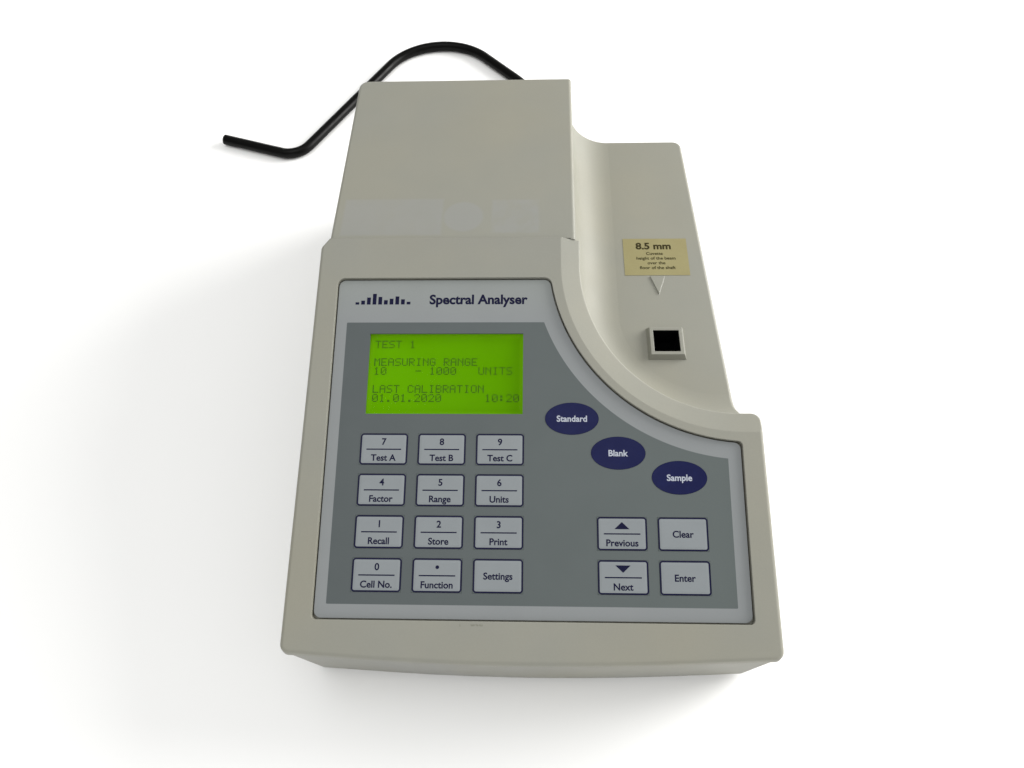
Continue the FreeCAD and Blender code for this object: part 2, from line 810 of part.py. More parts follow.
def foil_layer(label, grow, bottom, thickness, key_margin, window_margin):
    """One layer of the keyboard, with an opening at each key and at the display."""
    body = doc.addObject("PartDesign::Body", label)
    body.Placement = on_panel(0, 0, bottom)
    left, right = dim("foil_left"), dim("foil_right")
    low, high = dim("foil_bottom"), dim("foil_top")
    plate = body_sketch(body, label + "_plate")
    add_rectangle(plate, (left + right) / 2, (low + high) / 2,
                  f"dim.foil_right - dim.foil_left + 2 * {grow}",
                  f"dim.foil_top - dim.foil_bottom + 2 * {grow}")
    pad(body, plate, thickness)
    bay = body_sketch(body, label + "_bay")
    bay.addGeometry(Part.Circle(Vector(dim("foil_arc_across"), dim("foil_arc_up"), 0),
                                Vector(0, 0, 1), dim("foil_arc_radius") - grow))
    pocket_through(body, bay, "bay")
    round_upright_edges(body, "dim.foil_corner_radius")
    openings = body_sketch(body, label + "_openings")
    if key_margin is not None:
        for _, across, up in key_places():
            add_rectangle(openings, across, up, f"dim.key_width + 2 * {key_margin}",
                          f"dim.key_height + 2 * {key_margin}")
        for _, across, up in OVAL_KEYS:
            openings.addGeometry(Part.Ellipse(
                Vector(across, up, 0),
                dim("oval_width") / 2 + key_margin,
                dim("oval_height") / 2 + key_margin,
            ))
    add_rectangle(openings, dim("display_across"), dim("display_up"),
                  f"dim.window_width + 2 * {window_margin}",
                  f"dim.window_height + 2 * {window_margin}")
    pocket_through(body, openings, "openings")
    return body


def make_keypad_overlay():
    top = foil_layer("keypad_overlay", 0.0, -dim("foil_thickness"), "dim.foil_thickness",
                     dim("key_clearance"), 0.0)
    return sub_part(top, "keypad_overlay")


def make_keypad_spacer():
    bottom = -dim("foil_thickness") - dim("spacer_thickness")
    layer = foil_layer("keypad_spacer", 0.0, bottom, "dim.spacer_thickness", 0.6, 1.7)
    return sub_part(layer, "keypad_spacer")


def make_keypad_circuit():
    layer = foil_layer("keypad_circuit", 0.0, SEAT, "dim.circuit_thickness", None, 1.7)
    return sub_part(layer, "keypad_circuit")


def make_keys():
    rise = "dim.foil_thickness + dim.key_rise"
    for label, across, up in key_places():
        body = doc.addObject("PartDesign::Body", label)
        body.Placement = on_panel(across, up, -dim("foil_thickness"))
        face = body_sketch(body, label + "_face")
        add_rectangle(face, 0, 0, "dim.key_width", "dim.key_height")
        pad(body, face, rise)
        sub_part(body, label)
    for label, across, up in OVAL_KEYS:
        body = doc.addObject("PartDesign::Body", label)
        body.Placement = on_panel(across, up, -dim("foil_thickness"))
        face = body_sketch(body, label + "_face")
        face.addGeometry(Part.Ellipse(Vector(), dim("oval_width") / 2, dim("oval_height") / 2))
        pad(body, face, rise)
        sub_part(body, label)


def make_key_domes():
    """Snap domes, each a shallow cone with a flat crown, on the circuit layer under the keys."""
    floor = SEAT + dim("circuit_thickness")
    crown_share = 0.4
    domes = []
    for label, across, up in key_places() + OVAL_KEYS:
        dome = doc.addObject("Part::Cone", f"dome_{label}")
        dome.setExpression("Radius1", "dim.dome_radius")
        dome.setExpression("Radius2", f"dim.dome_radius * {crown_share}")
        dome.setExpression("Height", "dim.dome_height")
        dome.Placement = on_panel(across, up, floor)
        domes.append(dome)
    return sub_part(group("key_domes", *domes), "key_domes")


# ---------------------------------------------------------------- display

def display_place(above):
    return on_panel(dim("display_across"), dim("display_up"), above)


def make_display_window():
    margin = "2 * 1.4"
    pane = box("display_window", f"dim.window_width + {margin}", f"dim.window_height + {margin}",
               "dim.spacer_thickness",
               display_place(-dim("foil_thickness") - dim("spacer_thickness")))
    return sub_part(pane, "display_window")


GLASS_TOP = -2.6
LCD_BOARD_TOP = SEAT - WALL - 4.4


def make_display_module():
    glass = box("lcd_glass", "dim.glass_width", "dim.glass_height", "dim.glass_thickness",
                display_place(GLASS_TOP - dim("glass_thickness")))
    sub_part(glass, "lcd_glass")
    frame_bottom = LCD_BOARD_TOP
    frame_height = SEAT - WALL - 0.1 - frame_bottom
    ring = cut(
        "lcd_frame",
        box("lcd_frame_block", "dim.glass_width + 6", "dim.glass_height + 7", frame_height,
            display_place(frame_bottom)),
        box("lcd_frame_hole", "dim.glass_width + 0.2", "dim.glass_height + 0.2", 20.0,
            display_place(frame_bottom - 5)),
    )
    sub_part(ring, "lcd_frame")
    light_top = GLASS_TOP - dim("glass_thickness") - 0.05
    light = box("lcd_backlight", "dim.glass_width", "dim.glass_height", light_top - frame_bottom,
                display_place(frame_bottom))
    sub_part(light, "lcd_backlight")
    board_bottom = LCD_BOARD_TOP - dim("board_thickness")
    plate = box("lcd_plate", "dim.display_board_width", "dim.display_board_height",
                "dim.board_thickness", display_place(board_bottom))
    holes = [rod(f"lcd_hole_{i}", 1.3, 5.0, on_panel(x, y, board_bottom - 1))
             for i, (x, y) in enumerate(display_corners())]
    chips = [box(f"lcd_chip_{i}", 14.0, 14.0, 1.8, on_panel(dim("display_across") + 20 * (i - 1),
                 dim("display_up"), board_bottom - 1.8)) for i in range(3)]
    board = cut("lcd_board", fuse("lcd_board_blank", plate, *chips), *holes)
    return sub_part(board, "lcd_board")


def display_screws():
    head_height = 1.5
    start = LCD_BOARD_TOP - dim("board_thickness") - head_height
    return [screw(f"display_screw_{i}", 2.2, head_height, 1.0, 5.4, on_panel(x, y, start))
            for i, (x, y) in enumerate(display_corners())]


# ---------------------------------------------------------------- cuvette shaft and optics

OPTICS_FLOOR = dim("tray_bottom") + WALL
PLATE_TOP = OPTICS_FLOOR + 4.0
BEAM = dim("shaft_floor") + dim("beam_height")
SHAFT = Vector(dim("shaft_across"), dim("shaft_back"), 0)
HOLDER_TOP = dim("deck_height") - 8.0


def beside_shaft(back, height):
    return at(SHAFT.x, SHAFT.y + back, height)


def square(name, width, placement):
    sketch = doc.addObject("Sketcher::SketchObject", name)
    sketch.Placement = placement
    add_rectangle(sketch, 0, 0, width, width)
    return sketch


def make_cuvette_collar():
    neck = box("collar_neck", "dim.collar_neck_width", "dim.collar_neck_width",
               dim("deck_height") - HOLDER_TOP, beside_shaft(0, HOLDER_TOP))
    skirt = loft("collar_skirt",
                 square("collar_foot", "dim.collar_base_width", beside_shaft(0, dim("deck_height"))),
                 square("collar_lip", "dim.collar_top_width", beside_shaft(0, dim("collar_top"))))
    hole = box("collar_shaft", "dim.shaft_width", "dim.shaft_width", 40.0,
               beside_shaft(0, HOLDER_TOP - 5))
    return sub_part(cut("cuvette_collar", fuse("collar_blank", neck, skirt), hole), "cuvette_collar")


def make_cuvette_holder():
    block = box("holder_block", 26.0, 30.0, HOLDER_TOP - PLATE_TOP, beside_shaft(0, PLATE_TOP))
    shaft = box("holder_shaft", "dim.shaft_width + 0.1", "dim.shaft_width + 0.1", 60.0,
                beside_shaft(0, dim("shaft_floor")))
    beam = rod("holder_beam", 1.5, 60.0, at(SHAFT.x, SHAFT.y - 30, BEAM, along_y()))
    spring_seat = box("spring_seat", 3.0, 7.0, 26.0,
                      at(SHAFT.x + dim("shaft_width") / 2 + 1.5, SHAFT.y, BEAM - 6))
    foot_screws = [rod(f"holder_tap_{i}", 1.55, 6.0, at(SHAFT.x + 9.5 * sx, SHAFT.y + 11.5 * sy, PLATE_TOP))
                   for i, (sx, sy) in enumerate(((-1, -1), (1, 1)))]
    return sub_part(cut("cuvette_holder", block, shaft, beam, spring_seat, *foot_screws),
                    "cuvette_holder")


def make_cuvette_spring():
    """A bowed leaf that presses the cuvette against the shaft's opposite wall."""
    x = SHAFT.x + dim("shaft_width") / 2
    low, high = BEAM - 5.5, BEAM + 19.0
    bulge, leaf = 2.3, 0.35
    lower = [(x + bulge, low), (x + 0.3, (low + high) / 2), (x + bulge, high)]
    points = [Vector(px, SHAFT.y - 3, pz) for px, pz in lower]
    back = [point + Vector(leaf, 0, 0) for point in points]
    wire = Part.Wire([
        Part.Arc(*points).toShape(),
        Part.LineSegment(points[2], back[2]).toShape(),
        Part.Arc(back[2], back[1], back[0]).toShape(),
        Part.LineSegment(back[0], points[0]).toShape(),
    ])
    leaf_spring = doc.addObject("Part::Feature", "cuvette_spring")
    leaf_spring.Shape = Part.Face(wire).extrude(Vector(0, 6, 0))
    return sub_part(leaf_spring, "cuvette_spring")


def make_optics_plate():
    plate = box("optics_slab", 36.0, 184.0, 4.0, at(61.0, 12.0, OPTICS_FLOOR))
    holes = [rod(f"optics_hole_{i}", 1.8, 10.0, at(x, y, OPTICS_FLOOR - 2))
             for i, (x, y) in enumerate(optics_screw_places())]
    return sub_part(cut("optics_plate", plate, *holes), "optics_plate")


def optics_screw_places():
    return [(47.0, -74.0), (47.0, 98.0), (75.5, 52.0), (47.0, 30.0)]


def make_lamp():
    place = beside_shaft(78, PLATE_TOP)
    outer = box("lamp_box", 26.0, 36.0, 34.0, place)
    inner = box("lamp_room", 22.0, 32.0, 34.0, beside_shaft(78, PLATE_TOP + 2))
    port = rod("lamp_port", 4.0, 10.0, at(SHAFT.x, SHAFT.y + 56, BEAM, along_y()))
    base = rod("lamp_base", 8.0, 7.0, beside_shaft(78, PLATE_TOP + 2))
    bulb = rod("lamp_bulb", 5.0, 18.0, beside_shaft(78, PLATE_TOP + 9))
    doc.recompute()
    rounded = rounded_edges("lamp_tip", bulb, 3.0, lambda edge: edge.BoundBox.ZMin > PLATE_TOP + 26)
    sub_part(fuse("flash_lamp", base, rounded), "flash_lamp")
    tube_start = 15.0
    tube_length = 60.0 - tube_start
    tube = rod("beam_tube_rod", 8.0, tube_length, at(SHAFT.x, SHAFT.y + tube_start, BEAM, along_y()))
    bore = rod("beam_tube_bore", 6.0, 80.0, at(SHAFT.x, SHAFT.y, BEAM, along_y()))
    snout = cut("beam_tube", tube, bore)
    sub_part(fuse("lamp_housing", cut("lamp_shell", outer, inner, port), snout), "lamp_housing")
    faces = []
    for i, side in enumerate((-1, 1)):
        ball = doc.addObject("Part::Sphere", f"lens_ball_{i}")
        ball.Radius = 14.0
        ball.Placement = at(SHAFT.x, SHAFT.y + 38 + side * 11.8, BEAM)
        faces.append(ball)
    rim = rod("lens_rim", 5.95, 6.0, at(SHAFT.x, SHAFT.y + 35, BEAM, along_y()))
    return sub_part(common("condenser_lens", *faces, rim), "condenser_lens")


def make_spectrometer():
    """The box before the shaft in which a concave grating spreads the light over the diodes."""
    middle, width, length, height = -47.0, 34.0, 62.0, 30.0
    outer = box("spectrometer_block", width, length, height, beside_shaft(middle, PLATE_TOP))
    inner = box("spectrometer_room", width - 4, length - 4, height, beside_shaft(middle, PLATE_TOP - 2))
    slit = rod("spectrometer_port", 2.0, 10.0, at(SHAFT.x, SHAFT.y - 22, BEAM, along_y()))
    window = box("diode_window", 8.0, 22.0, 8.0, at(SHAFT.x - width / 2, SHAFT.y - 32, BEAM - 4))
    sub_part(cut("spectrometer_box", outer, inner, slit, window), "spectrometer_box")
    turned = Rotation(Vector(0, 0, 1), 14).multiply(along_y())
    disc = rod("grating_disc", 9.0, 5.0, at(SHAFT.x, SHAFT.y - 72, BEAM, turned))
    dish = doc.addObject("Part::Sphere", "grating_dish")
    dish.Radius = 60.0
    forward = turned.multVec(Vector(0, 0, 1))
    dish.Placement = Placement(Vector(SHAFT.x, SHAFT.y - 72, BEAM) + forward * 64.2, Rotation())
    sub_part(cut("concave_grating", disc, dish), "concave_grating")
    board = box("diode_board", 1.6, 34.0, 26.0, at(SHAFT.x - width / 2 - 0.8, SHAFT.y - 32, PLATE_TOP))
    chip = box("diode_chip", 1.9, 18.0, 5.0, at(SHAFT.x - width / 2 + 0.95, SHAFT.y - 32, BEAM - 2.5))
    return sub_part(fuse("diode_array", board, chip), "diode_array")


# ---------------------------------------------------------------- electronics

BOARD_SCREW_RADIUS = 1.3
MAIN_BOARD = (-18.0, -54.0, 112.0, 148.0)  # middle across, middle back, width, depth
POWER_BOARD = (-38.0, 72.0, 96.0, 70.0)


def board_seat():
    return 14.0


def corners_of(board, margin=5.0):
    x, y, width, depth = board
    return [(x + sx * (width / 2 - margin), y + sy * (depth / 2 - margin))
            for sx in (-1, 1) for sy in (-1, 1)]


def board_screw_places():
    return corners_of(MAIN_BOARD) + corners_of(POWER_BOARD)


def circuit_board(label, board):
    x, y, width, depth = board
    plate = box(label + "_plate", width, depth, "dim.board_thickness", at(x, y, board_seat()))
    holes = [rod(f"{label}_hole_{i}", BOARD_SCREW_RADIUS + 0.3, 5.0, at(px, py, board_seat() - 1))
             for i, (px, py) in enumerate(corners_of(board))]
    return sub_part(cut(label, plate, *holes), label)


def make_boards():
    circuit_board("main_board", MAIN_BOARD)
    circuit_board("power_board", POWER_BOARD)
    top = board_seat() + dim("board_thickness")
    x, y = MAIN_BOARD[:2]
    chips = [
        box("processor", 24.0, 24.0, 3.2, at(x, y, top)),
        box("program_memory", 14.0, 36.0, 4.2, at(x + 30, y + 5, top)),
        box("data_memory", 14.0, 36.0, 4.2, at(x - 30, y + 5, top)),
        box("converter", 10.0, 18.0, 3.0, at(x + 34, y - 40, top)),
        box("display_socket", 28.0, 6.0, 7.0, at(x, y + 52, top)),
        box("keypad_socket", 26.0, 5.0, 7.0, at(TAIL_ACROSS, y + 52, top)),
        rod("clock_battery", 10.0, 5.0, at(x - 30, y - 40, top)),
        rod("beeper", 7.0, 9.0, at(x, y - 45, top)),
    ]
    px, py = POWER_BOARD[:2]
    core = box("transformer_core", 38.0, 46.0, 34.0, at(px - 16, py, top))
    winding = box("transformer_winding", 46.0, 30.0, 26.0, at(px - 16, py, top + 4))
    sub_part(fuse("power_transformer", core, winding), "power_transformer")
    parts = [
        rod("capacitor_0", 9.0, 30.0, at(px + 22, py - 20, top)),
        rod("capacitor_1", 7.0, 25.0, at(px + 22, py + 2, top)),
        rod("capacitor_2", 5.0, 20.0, at(px + 38, py - 20, top)),
        box("heat_sink", 4.0, 30.0, 24.0, at(px + 43, py + 10, top)),
    ]
    sub_part(group("board_parts", *chips, *parts), "board_parts")
    upside_down = Rotation(Vector(1, 0, 0), 180)
    screws = [
        screw(f"board_screw_{i}", 2.8, 1.8, BOARD_SCREW_RADIUS, 7.0,
              at(bx, by, top + 1.8, upside_down))
        for i, (bx, by) in enumerate(board_screw_places())
    ]
    return sub_part(group("board_screws", *screws, *display_screws()), "board_screws")


# ---------------------------------------------------------------- rear panel and mains

PANEL_BACK = HALF_DEPTH - WALL
PANEL_THICKNESS = 1.2
INLET = (dim("inlet_across"), dim("inlet_height"))
SWITCH = (-26.0, 27.0)
SERIAL = (-58.0, 27.0)
FUSE_HEIGHT = 36.4
JACK_SPACING = 25.0


def on_back(x, height, y=PANEL_BACK):
    """A place on the rear panel's outer face whose Z axis points out of the back."""
    return at(x, y, height, along_y())


def back_box(name, width, height, start, end, x, z):
    """A block through the rear panel from y = start to y = end."""
    return box(name, width, end - start, height, at(x, (start + end) / 2, z - height / 2))


def make_rear_panel():
    middle, width, height_middle, height = REAR_OPENING
    plate = back_box("rear_plate", width + 8, height + 4, PANEL_BACK - PANEL_THICKNESS, PANEL_BACK,
                     middle, height_middle)
    holes = [
        back_box("inlet_hole", 28.4, 28.4, PANEL_BACK - 5, PANEL_BACK + 5, INLET[0], height_middle),
        back_box("switch_hole", 14.4, 22.4, PANEL_BACK - 5, PANEL_BACK + 5, *SWITCH),
        back_box("serial_hole", 19.4, 10.4, PANEL_BACK - 5, PANEL_BACK + 5, *SERIAL),
    ]
    holes += [rod(f"jack_hole_{i}", 1.7, 10.0, on_back(SERIAL[0] + side * JACK_SPACING / 2,
                                                     SERIAL[1], PANEL_BACK - 5))
              for i, side in enumerate((-1, 1))]
    return sub_part(cut("rear_panel", plate, *holes), "rear_panel")


def make_mains_inlet():
    z = REAR_OPENING[2]
    start = PANEL_BACK - 24.0
    flange = back_box("inlet_flange", 30.5, 30.5, PANEL_BACK, PANEL_BACK + 2, INLET[0], z)
    inner = back_box("inlet_body", 28.0, 28.0, start, PANEL_BACK, INLET[0], z)
    mouth_end = PANEL_BACK + 10
    mouth = back_box("inlet_mouth", 24.6, 16.6, PANEL_BACK - 15.5, mouth_end, INLET[0], INLET[1])
    drawer_room = back_box("drawer_room", 22.4, 6.6, PANEL_BACK - 19, mouth_end, INLET[0], FUSE_HEIGHT)
    body = cut("inlet_shell", fuse("inlet_blank", flange, inner), mouth, drawer_room)
    pins = [
        back_box(f"inlet_pin_{i}", 2.0, 4.0, PANEL_BACK - 24.5, PANEL_BACK - 2, INLET[0] + dx, INLET[1] + dz)
        for i, (dx, dz) in enumerate(PIN_PLACES)
    ]
    sub_part(cut("mains_inlet", body, fuse("pin_slots", *pins)), "mains_inlet")
    return sub_part(group("inlet_pins", *pins), "inlet_pins")


PIN_PLACES = [(-7.0, -1.5), (7.0, -1.5), (0.0, 2.5)]


def make_fuse_drawer():
    drawer = back_box("drawer_tray", 22.0, 6.2, PANEL_BACK - 18.5, PANEL_BACK + 2.0, INLET[0], FUSE_HEIGHT)
    face = back_box("drawer_face", 24.0, 7.4, PANEL_BACK + 2.05, PANEL_BACK + 3.4, INLET[0], FUSE_HEIGHT)
    neck = back_box("drawer_neck", 18.0, 5.0, PANEL_BACK + 1.0, PANEL_BACK + 3.0, INLET[0], FUSE_HEIGHT)
    pit = back_box("drawer_pit", 18.0, 10.0, PANEL_BACK - 17, PANEL_BACK - 2, INLET[0], FUSE_HEIGHT + 3)
    return sub_part(cut("fuse_drawer", fuse("drawer_blank", drawer, neck, face), pit), "fuse_drawer")


def make_mains_switch():
    x, z = SWITCH
    start = PANEL_BACK - 14.0
    shell = back_box("switch_shell", 14.0, 22.0, start, PANEL_BACK, x, z)
    flange = back_box("switch_flange", 16.4, 24.4, PANEL_BACK, PANEL_BACK + 1.5, x, z)
    room = back_box("switch_room", 11.4, 19.4, start + 2, PANEL_BACK + 5, x, z)
    # The rocker turns on an axle along X, whose ends sit in two holes in the frame's sides.
    pivot_y = PANEL_BACK - 2.5
    axle_radius, axle_length, play = 1.2, 13.0, 0.1
    along_x = Rotation(Vector(0, 1, 0), 90)
    sockets = rod("axle_sockets", axle_radius + play, axle_length + 2 * play,
                  at(x - axle_length / 2 - play, pivot_y, z, along_x))
    sub_part(cut("switch_frame", fuse("switch_blank", shell, flange), room, sockets), "switch_frame")
    reach, tilt = 8.3, math.radians(8)
    crest = PANEL_BACK + 2.6
    rise = reach * math.tan(2 * tilt)
    profile = [
        Vector(0, pivot_y - 3, z - 5), Vector(0, pivot_y - 3, z + 5), Vector(0, PANEL_BACK - 1.5, z + reach),
        Vector(0, crest + 0.4, z + reach), Vector(0, crest - 1.0, z),
        Vector(0, crest - 1.0 - rise * 0.45, z - reach), Vector(0, PANEL_BACK - 2.5, z - reach),
    ]
    wire = Part.makePolygon(profile + profile[:1])
    width = 10.8
    rocker = doc.addObject("Part::Feature", "rocker_blank")
    rocker.Shape = Part.Face(wire).extrude(Vector(width, 0, 0))
    rocker.Placement = at(x - width / 2, 0, 0)
    axle = rod("rocker_axle", axle_radius, axle_length, at(x - axle_length / 2, pivot_y, z, along_x))
    return sub_part(fuse("mains_switch", rocker, axle), "mains_switch")


def make_serial_port():
    x, z = SERIAL
    flange = back_box("serial_flange", 31.0, 12.5, PANEL_BACK, PANEL_BACK + 1.0, x, z)
    shell = back_box("serial_shell", 19.0, 10.0, PANEL_BACK - 10, PANEL_BACK, x, z)
    corners = [(-8.5, 4.15, 2), (8.5, 4.15, 2), (7.0, -4.15, 2), (-7.0, -4.15, 2)]
    nose = prism("serial_nose", outline([(-a, b, r) for a, b, r in reversed(corners)]),
                 on_back(x, z), 6.8)
    face = back_box("serial_face", 14.0, 5.0, PANEL_BACK + 6.0, PANEL_BACK + 10, x, z)
    sockets = [
        rod(f"socket_{row}_{i}", 0.55, 6.0, on_back(x + (i - (4 - row) / 2) * 2.77, z + 1.42 - 2.84 * row,
                                                   PANEL_BACK + 1.5))
        for row, count in ((0, 5), (1, 4)) for i in range(count)
    ]
    bolt_holes = [rod(f"flange_hole_{i}", 1.7, 10.0, on_back(x + side * JACK_SPACING / 2, z, PANEL_BACK - 5))
                  for i, side in enumerate((-1, 1))]
    port = cut("serial_port", fuse("serial_blank", flange, shell, nose), face, *sockets, *bolt_holes)
    sub_part(port, "serial_port")
    screws = []
    for i, side in enumerate((-1, 1)):
        place = on_back(x + side * JACK_SPACING / 2, z, PANEL_BACK + 1.0)
        nut = doc.addObject("Part::Prism", f"jack_nut_{i}")
        nut.Polygon = 6
        nut.Circumradius = 2.75
        nut.Height = 5.0
        nut.Placement = place
        stud = rod(f"jack_stud_{i}", 1.6, 6.0, on_back(place.Base.x, z, PANEL_BACK - 5.0))
        thread = rod(f"jack_thread_{i}", 1.25, 20.0, on_back(place.Base.x, z, PANEL_BACK - 4.0))
        screws.append(cut(f"jack_screw_{i}", fuse(f"jack_blank_{i}", nut, stud), thread))
    return sub_part(group("jack_screws", *screws), "jack_screws")


def make_mains_plug():
    x, z = INLET
    start, mouth, back = PANEL_BACK - 15.0, PANEL_BACK + 2.6, PANEL_BACK + 33.0
    nose = back_box("plug_nose", 23.6, 15.6, start, mouth + 2, x, z)
    grip = loft(
        "plug_grip",
        free_sketch("grip_front", outline(plug_section(13.4, 8.8, 3.0)), on_back(x, z, mouth)),
        free_sketch("grip_back", outline(plug_section(9.5, 7.6, 3.0)), on_back(x, z, back)),
    )
    relief = doc.addObject("Part::Cone", "plug_relief")
    relief.Radius1 = 6.0
    relief.Radius2 = 4.2
    relief.Height = RELIEF_LENGTH
    relief.Placement = on_back(x, z, back - 1.0)
    grooves = [
        cut(f"relief_groove_{i}", rod(f"groove_outer_{i}", 8.0, 1.2, on_back(x, z, back + 4 + 3.4 * i)),
            rod(f"groove_inner_{i}", 4.6 - 0.2 * i, 4.0, on_back(x, z, back + 3 + 3.4 * i)))
        for i in range(4)
    ]
    slots = [back_box(f"plug_slot_{i}", 2.4, 4.4, start - 1, PANEL_BACK - 1.0, x + dx, z + dz)
             for i, (dx, dz) in enumerate(PIN_PLACES)]
    cord_room = rod("plug_cord_room", "dim.cord_diameter / 2", 40.0, on_back(x, z, cord_start()))
    return sub_part(cut("mains_plug", fuse("plug_blank", nose, grip, relief), *grooves, *slots, cord_room),
                    "mains_plug")


RELIEF_LENGTH = 22.0


def plug_section(half_width, half_height, radius):
    return [(-half_width, -half_height, radius), (half_width, -half_height, radius),
            (half_width, half_height, radius), (-half_width, half_height, radius)]


def cord_start():
    return PANEL_BACK + 33.0 - 1.0 + RELIEF_LENGTH - 6.0


def make_mains_cord():
    """A round cord that droops from the plug to the bench and turns back past the left side."""
    x, z = INLET
    rest = dim("cord_diameter") / 2
    start = cord_start()
    corners = [
        (Vector(x, start, z), 0),
        (Vector(x, start + 12, z), 14.0),
        (Vector(x, start + 31, rest), 18.0),
        (Vector(x, 255.5, rest), 60.0),
        (Vector(-79.0, 343.0, rest), 44.0),
        (Vector(-162.0, 193.6, rest), 15.0),
        (Vector(-216.6, 211.3, rest), 0),
    ]
    spine = doc.addObject("Part::Feature", "cord_path")
    spine.Shape = Part.Wire([piece.toShape() for piece in bent_line(corners, closed=False)])
    ring = doc.addObject("Part::Circle", "cord_ring")
    ring.setExpression("Radius", "dim.cord_diameter / 2")
    ring.Placement = on_back(x, z, start)
    sweep = doc.addObject("Part::Sweep", "mains_cord")
    sweep.Sections = [ring]
    sweep.Spine = (spine, [f"Edge{i + 1}" for i in range(len(spine.Shape.Edges))])
    sweep.Solid = True
    sweep.Frenet = False
    return sub_part(sweep, "mains_cord")


# ---------------------------------------------------------------- label and ribbon cables

def ribbon(name, width, thickness, points):
    """A flat cable: a thin strip swept along a smooth curve in the plane x = constant."""
    curve = Part.BSplineCurve()
    curve.interpolate(Points=points)
    spine = doc.addObject("Part::Feature", name + "_path")
    spine.Shape = Part.Wire(curve.toShape())
    heading = curve.tangent(curve.FirstParameter)[0]
    section = prism_outline(name + "_section", width, thickness, Placement(
        points[0], Rotation(Vector(1, 0, 0), Vector(), heading, "ZXY")))
    sweep = doc.addObject("Part::Sweep", name)
    sweep.Sections = [section]
    sweep.Spine = (spine, ["Edge1"])
    sweep.Solid = True
    sweep.Frenet = False
    return sweep


def prism_outline(name, width, thickness, placement):
    half_w, half_t = width / 2, thickness / 2
    corners = [(-half_w, -half_t, 0), (half_w, -half_t, 0), (half_w, half_t, 0), (-half_w, half_t, 0)]
    return free_sketch(name, outline(corners), placement)


def make_ribbon_cables():
    clearance = 0.6
    socket_top = board_seat() + dim("board_thickness") + 7.0 + clearance
    socket_back = MAIN_BOARD[1] + 52.0
    lcd_start = on_panel(MAIN_BOARD[0], 98.0, LCD_BOARD_TOP - dim("board_thickness") - clearance)
    keypad_start = on_panel(TAIL_ACROSS, 112.0, SEAT - clearance)
    down = PANEL.Rotation.multVec(Vector(0, 0, -1))
    cables = []
    for name, start, width, thickness, drop in (
        ("display_ribbon", lcd_start.Base, 26.0, 0.9, 9.0),
        ("keypad_tail", keypad_start.Base, 20.0, 0.4, 14.0),
    ):
        end = Vector(start.x, socket_back, socket_top)
        points = [start, start + down * drop, end + Vector(0, 0, drop), end]
        cables.append(ribbon(name, width, thickness, points))
    return sub_part(group("ribbon_cables", *cables), "ribbon_cables")


def make_beam_label():
    label = box("beam_label", 33.6, 25.0, 0.15, at(65.05, 58.8, dim("deck_height")))
    return sub_part(label, "beam_label")


MAKERS = [
    make_rear_cover, make_front_cover, make_base_tray, make_rubber_feet, make_housing_screws,
    make_keypad_overlay, make_keypad_spacer, make_keypad_circuit, make_keys, make_key_domes,
    make_display_window, make_display_module, make_cuvette_collar, make_cuvette_holder,
    make_cuvette_spring, make_optics_plate, make_lamp, make_spectrometer, make_boards,
    make_rear_panel, make_mains_inlet, make_fuse_drawer, make_mains_switch, make_serial_port,
    make_mains_plug, make_mains_cord, make_beam_label,
    make_ribbon_cables,
]


# ---------------------------------------------------------------- build and write

def check_and_write():
    doc.recompute()
    faulty = [o.Name for o in doc.Objects if "Invalid" in o.State or "Error" in o.State]
    if faulty:
        raise RuntimeError(f"failed objects: {faulty}")
    for item in sub_parts:
        if item.Shape.isNull() or not item.Shape.isValid() or not item.Shape.Solids:
            raise RuntimeError(f"bad shape: {item.Label}")
    os.makedirs("parts", exist_ok=True)
    for item in sub_parts:
        item.Shape.exportStep(f"parts/{item.Label}.step")


for make in MAKERS:
    make()
check_and_write()
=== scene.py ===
"""The looks of a bench spectrophotometer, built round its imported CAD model.

Lengths are metres in the row's frame: +X to the operator's right, +Y to the back, +Z up.
Places on the keyboard are given in the panel's own frame: across, up the slope, and above.
"""
import json
import math

import bmesh
import bpy
from mathutils import Matrix, Vector


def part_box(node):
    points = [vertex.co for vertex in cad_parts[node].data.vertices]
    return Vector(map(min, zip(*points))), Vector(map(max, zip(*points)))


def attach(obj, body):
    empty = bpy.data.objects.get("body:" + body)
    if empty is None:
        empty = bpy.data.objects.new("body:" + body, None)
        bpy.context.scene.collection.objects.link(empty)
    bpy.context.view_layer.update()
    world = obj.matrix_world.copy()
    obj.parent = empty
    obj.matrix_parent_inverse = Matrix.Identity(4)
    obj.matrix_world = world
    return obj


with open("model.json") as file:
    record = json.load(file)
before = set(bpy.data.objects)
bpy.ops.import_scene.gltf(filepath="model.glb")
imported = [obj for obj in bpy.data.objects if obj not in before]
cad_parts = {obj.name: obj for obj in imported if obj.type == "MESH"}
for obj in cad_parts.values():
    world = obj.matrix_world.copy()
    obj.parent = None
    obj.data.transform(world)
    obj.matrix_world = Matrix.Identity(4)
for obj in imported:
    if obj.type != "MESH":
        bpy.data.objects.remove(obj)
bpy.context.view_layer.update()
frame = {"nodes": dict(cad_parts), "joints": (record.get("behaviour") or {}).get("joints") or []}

MM = 0.001
INK = 0.03 * MM  # how far printing stands above what it is printed on
SHADE_HALF_WIDTH = 6.45 * MM  # half the width of the painted shade on the collar's inside walls, a little past the shaft

# ---------------------------------------------------------------- the panel's frame

PRESS = next(joint["axis"] for joint in frame["joints"] if joint["child"] == "key_5")
ABOVE = -Vector(PRESS).normalized()
ACROSS = Vector((1, 0, 0))
UP = ABOVE.cross(ACROSS)
PANEL_TURN = Matrix((ACROSS, UP, ABOVE)).transposed()


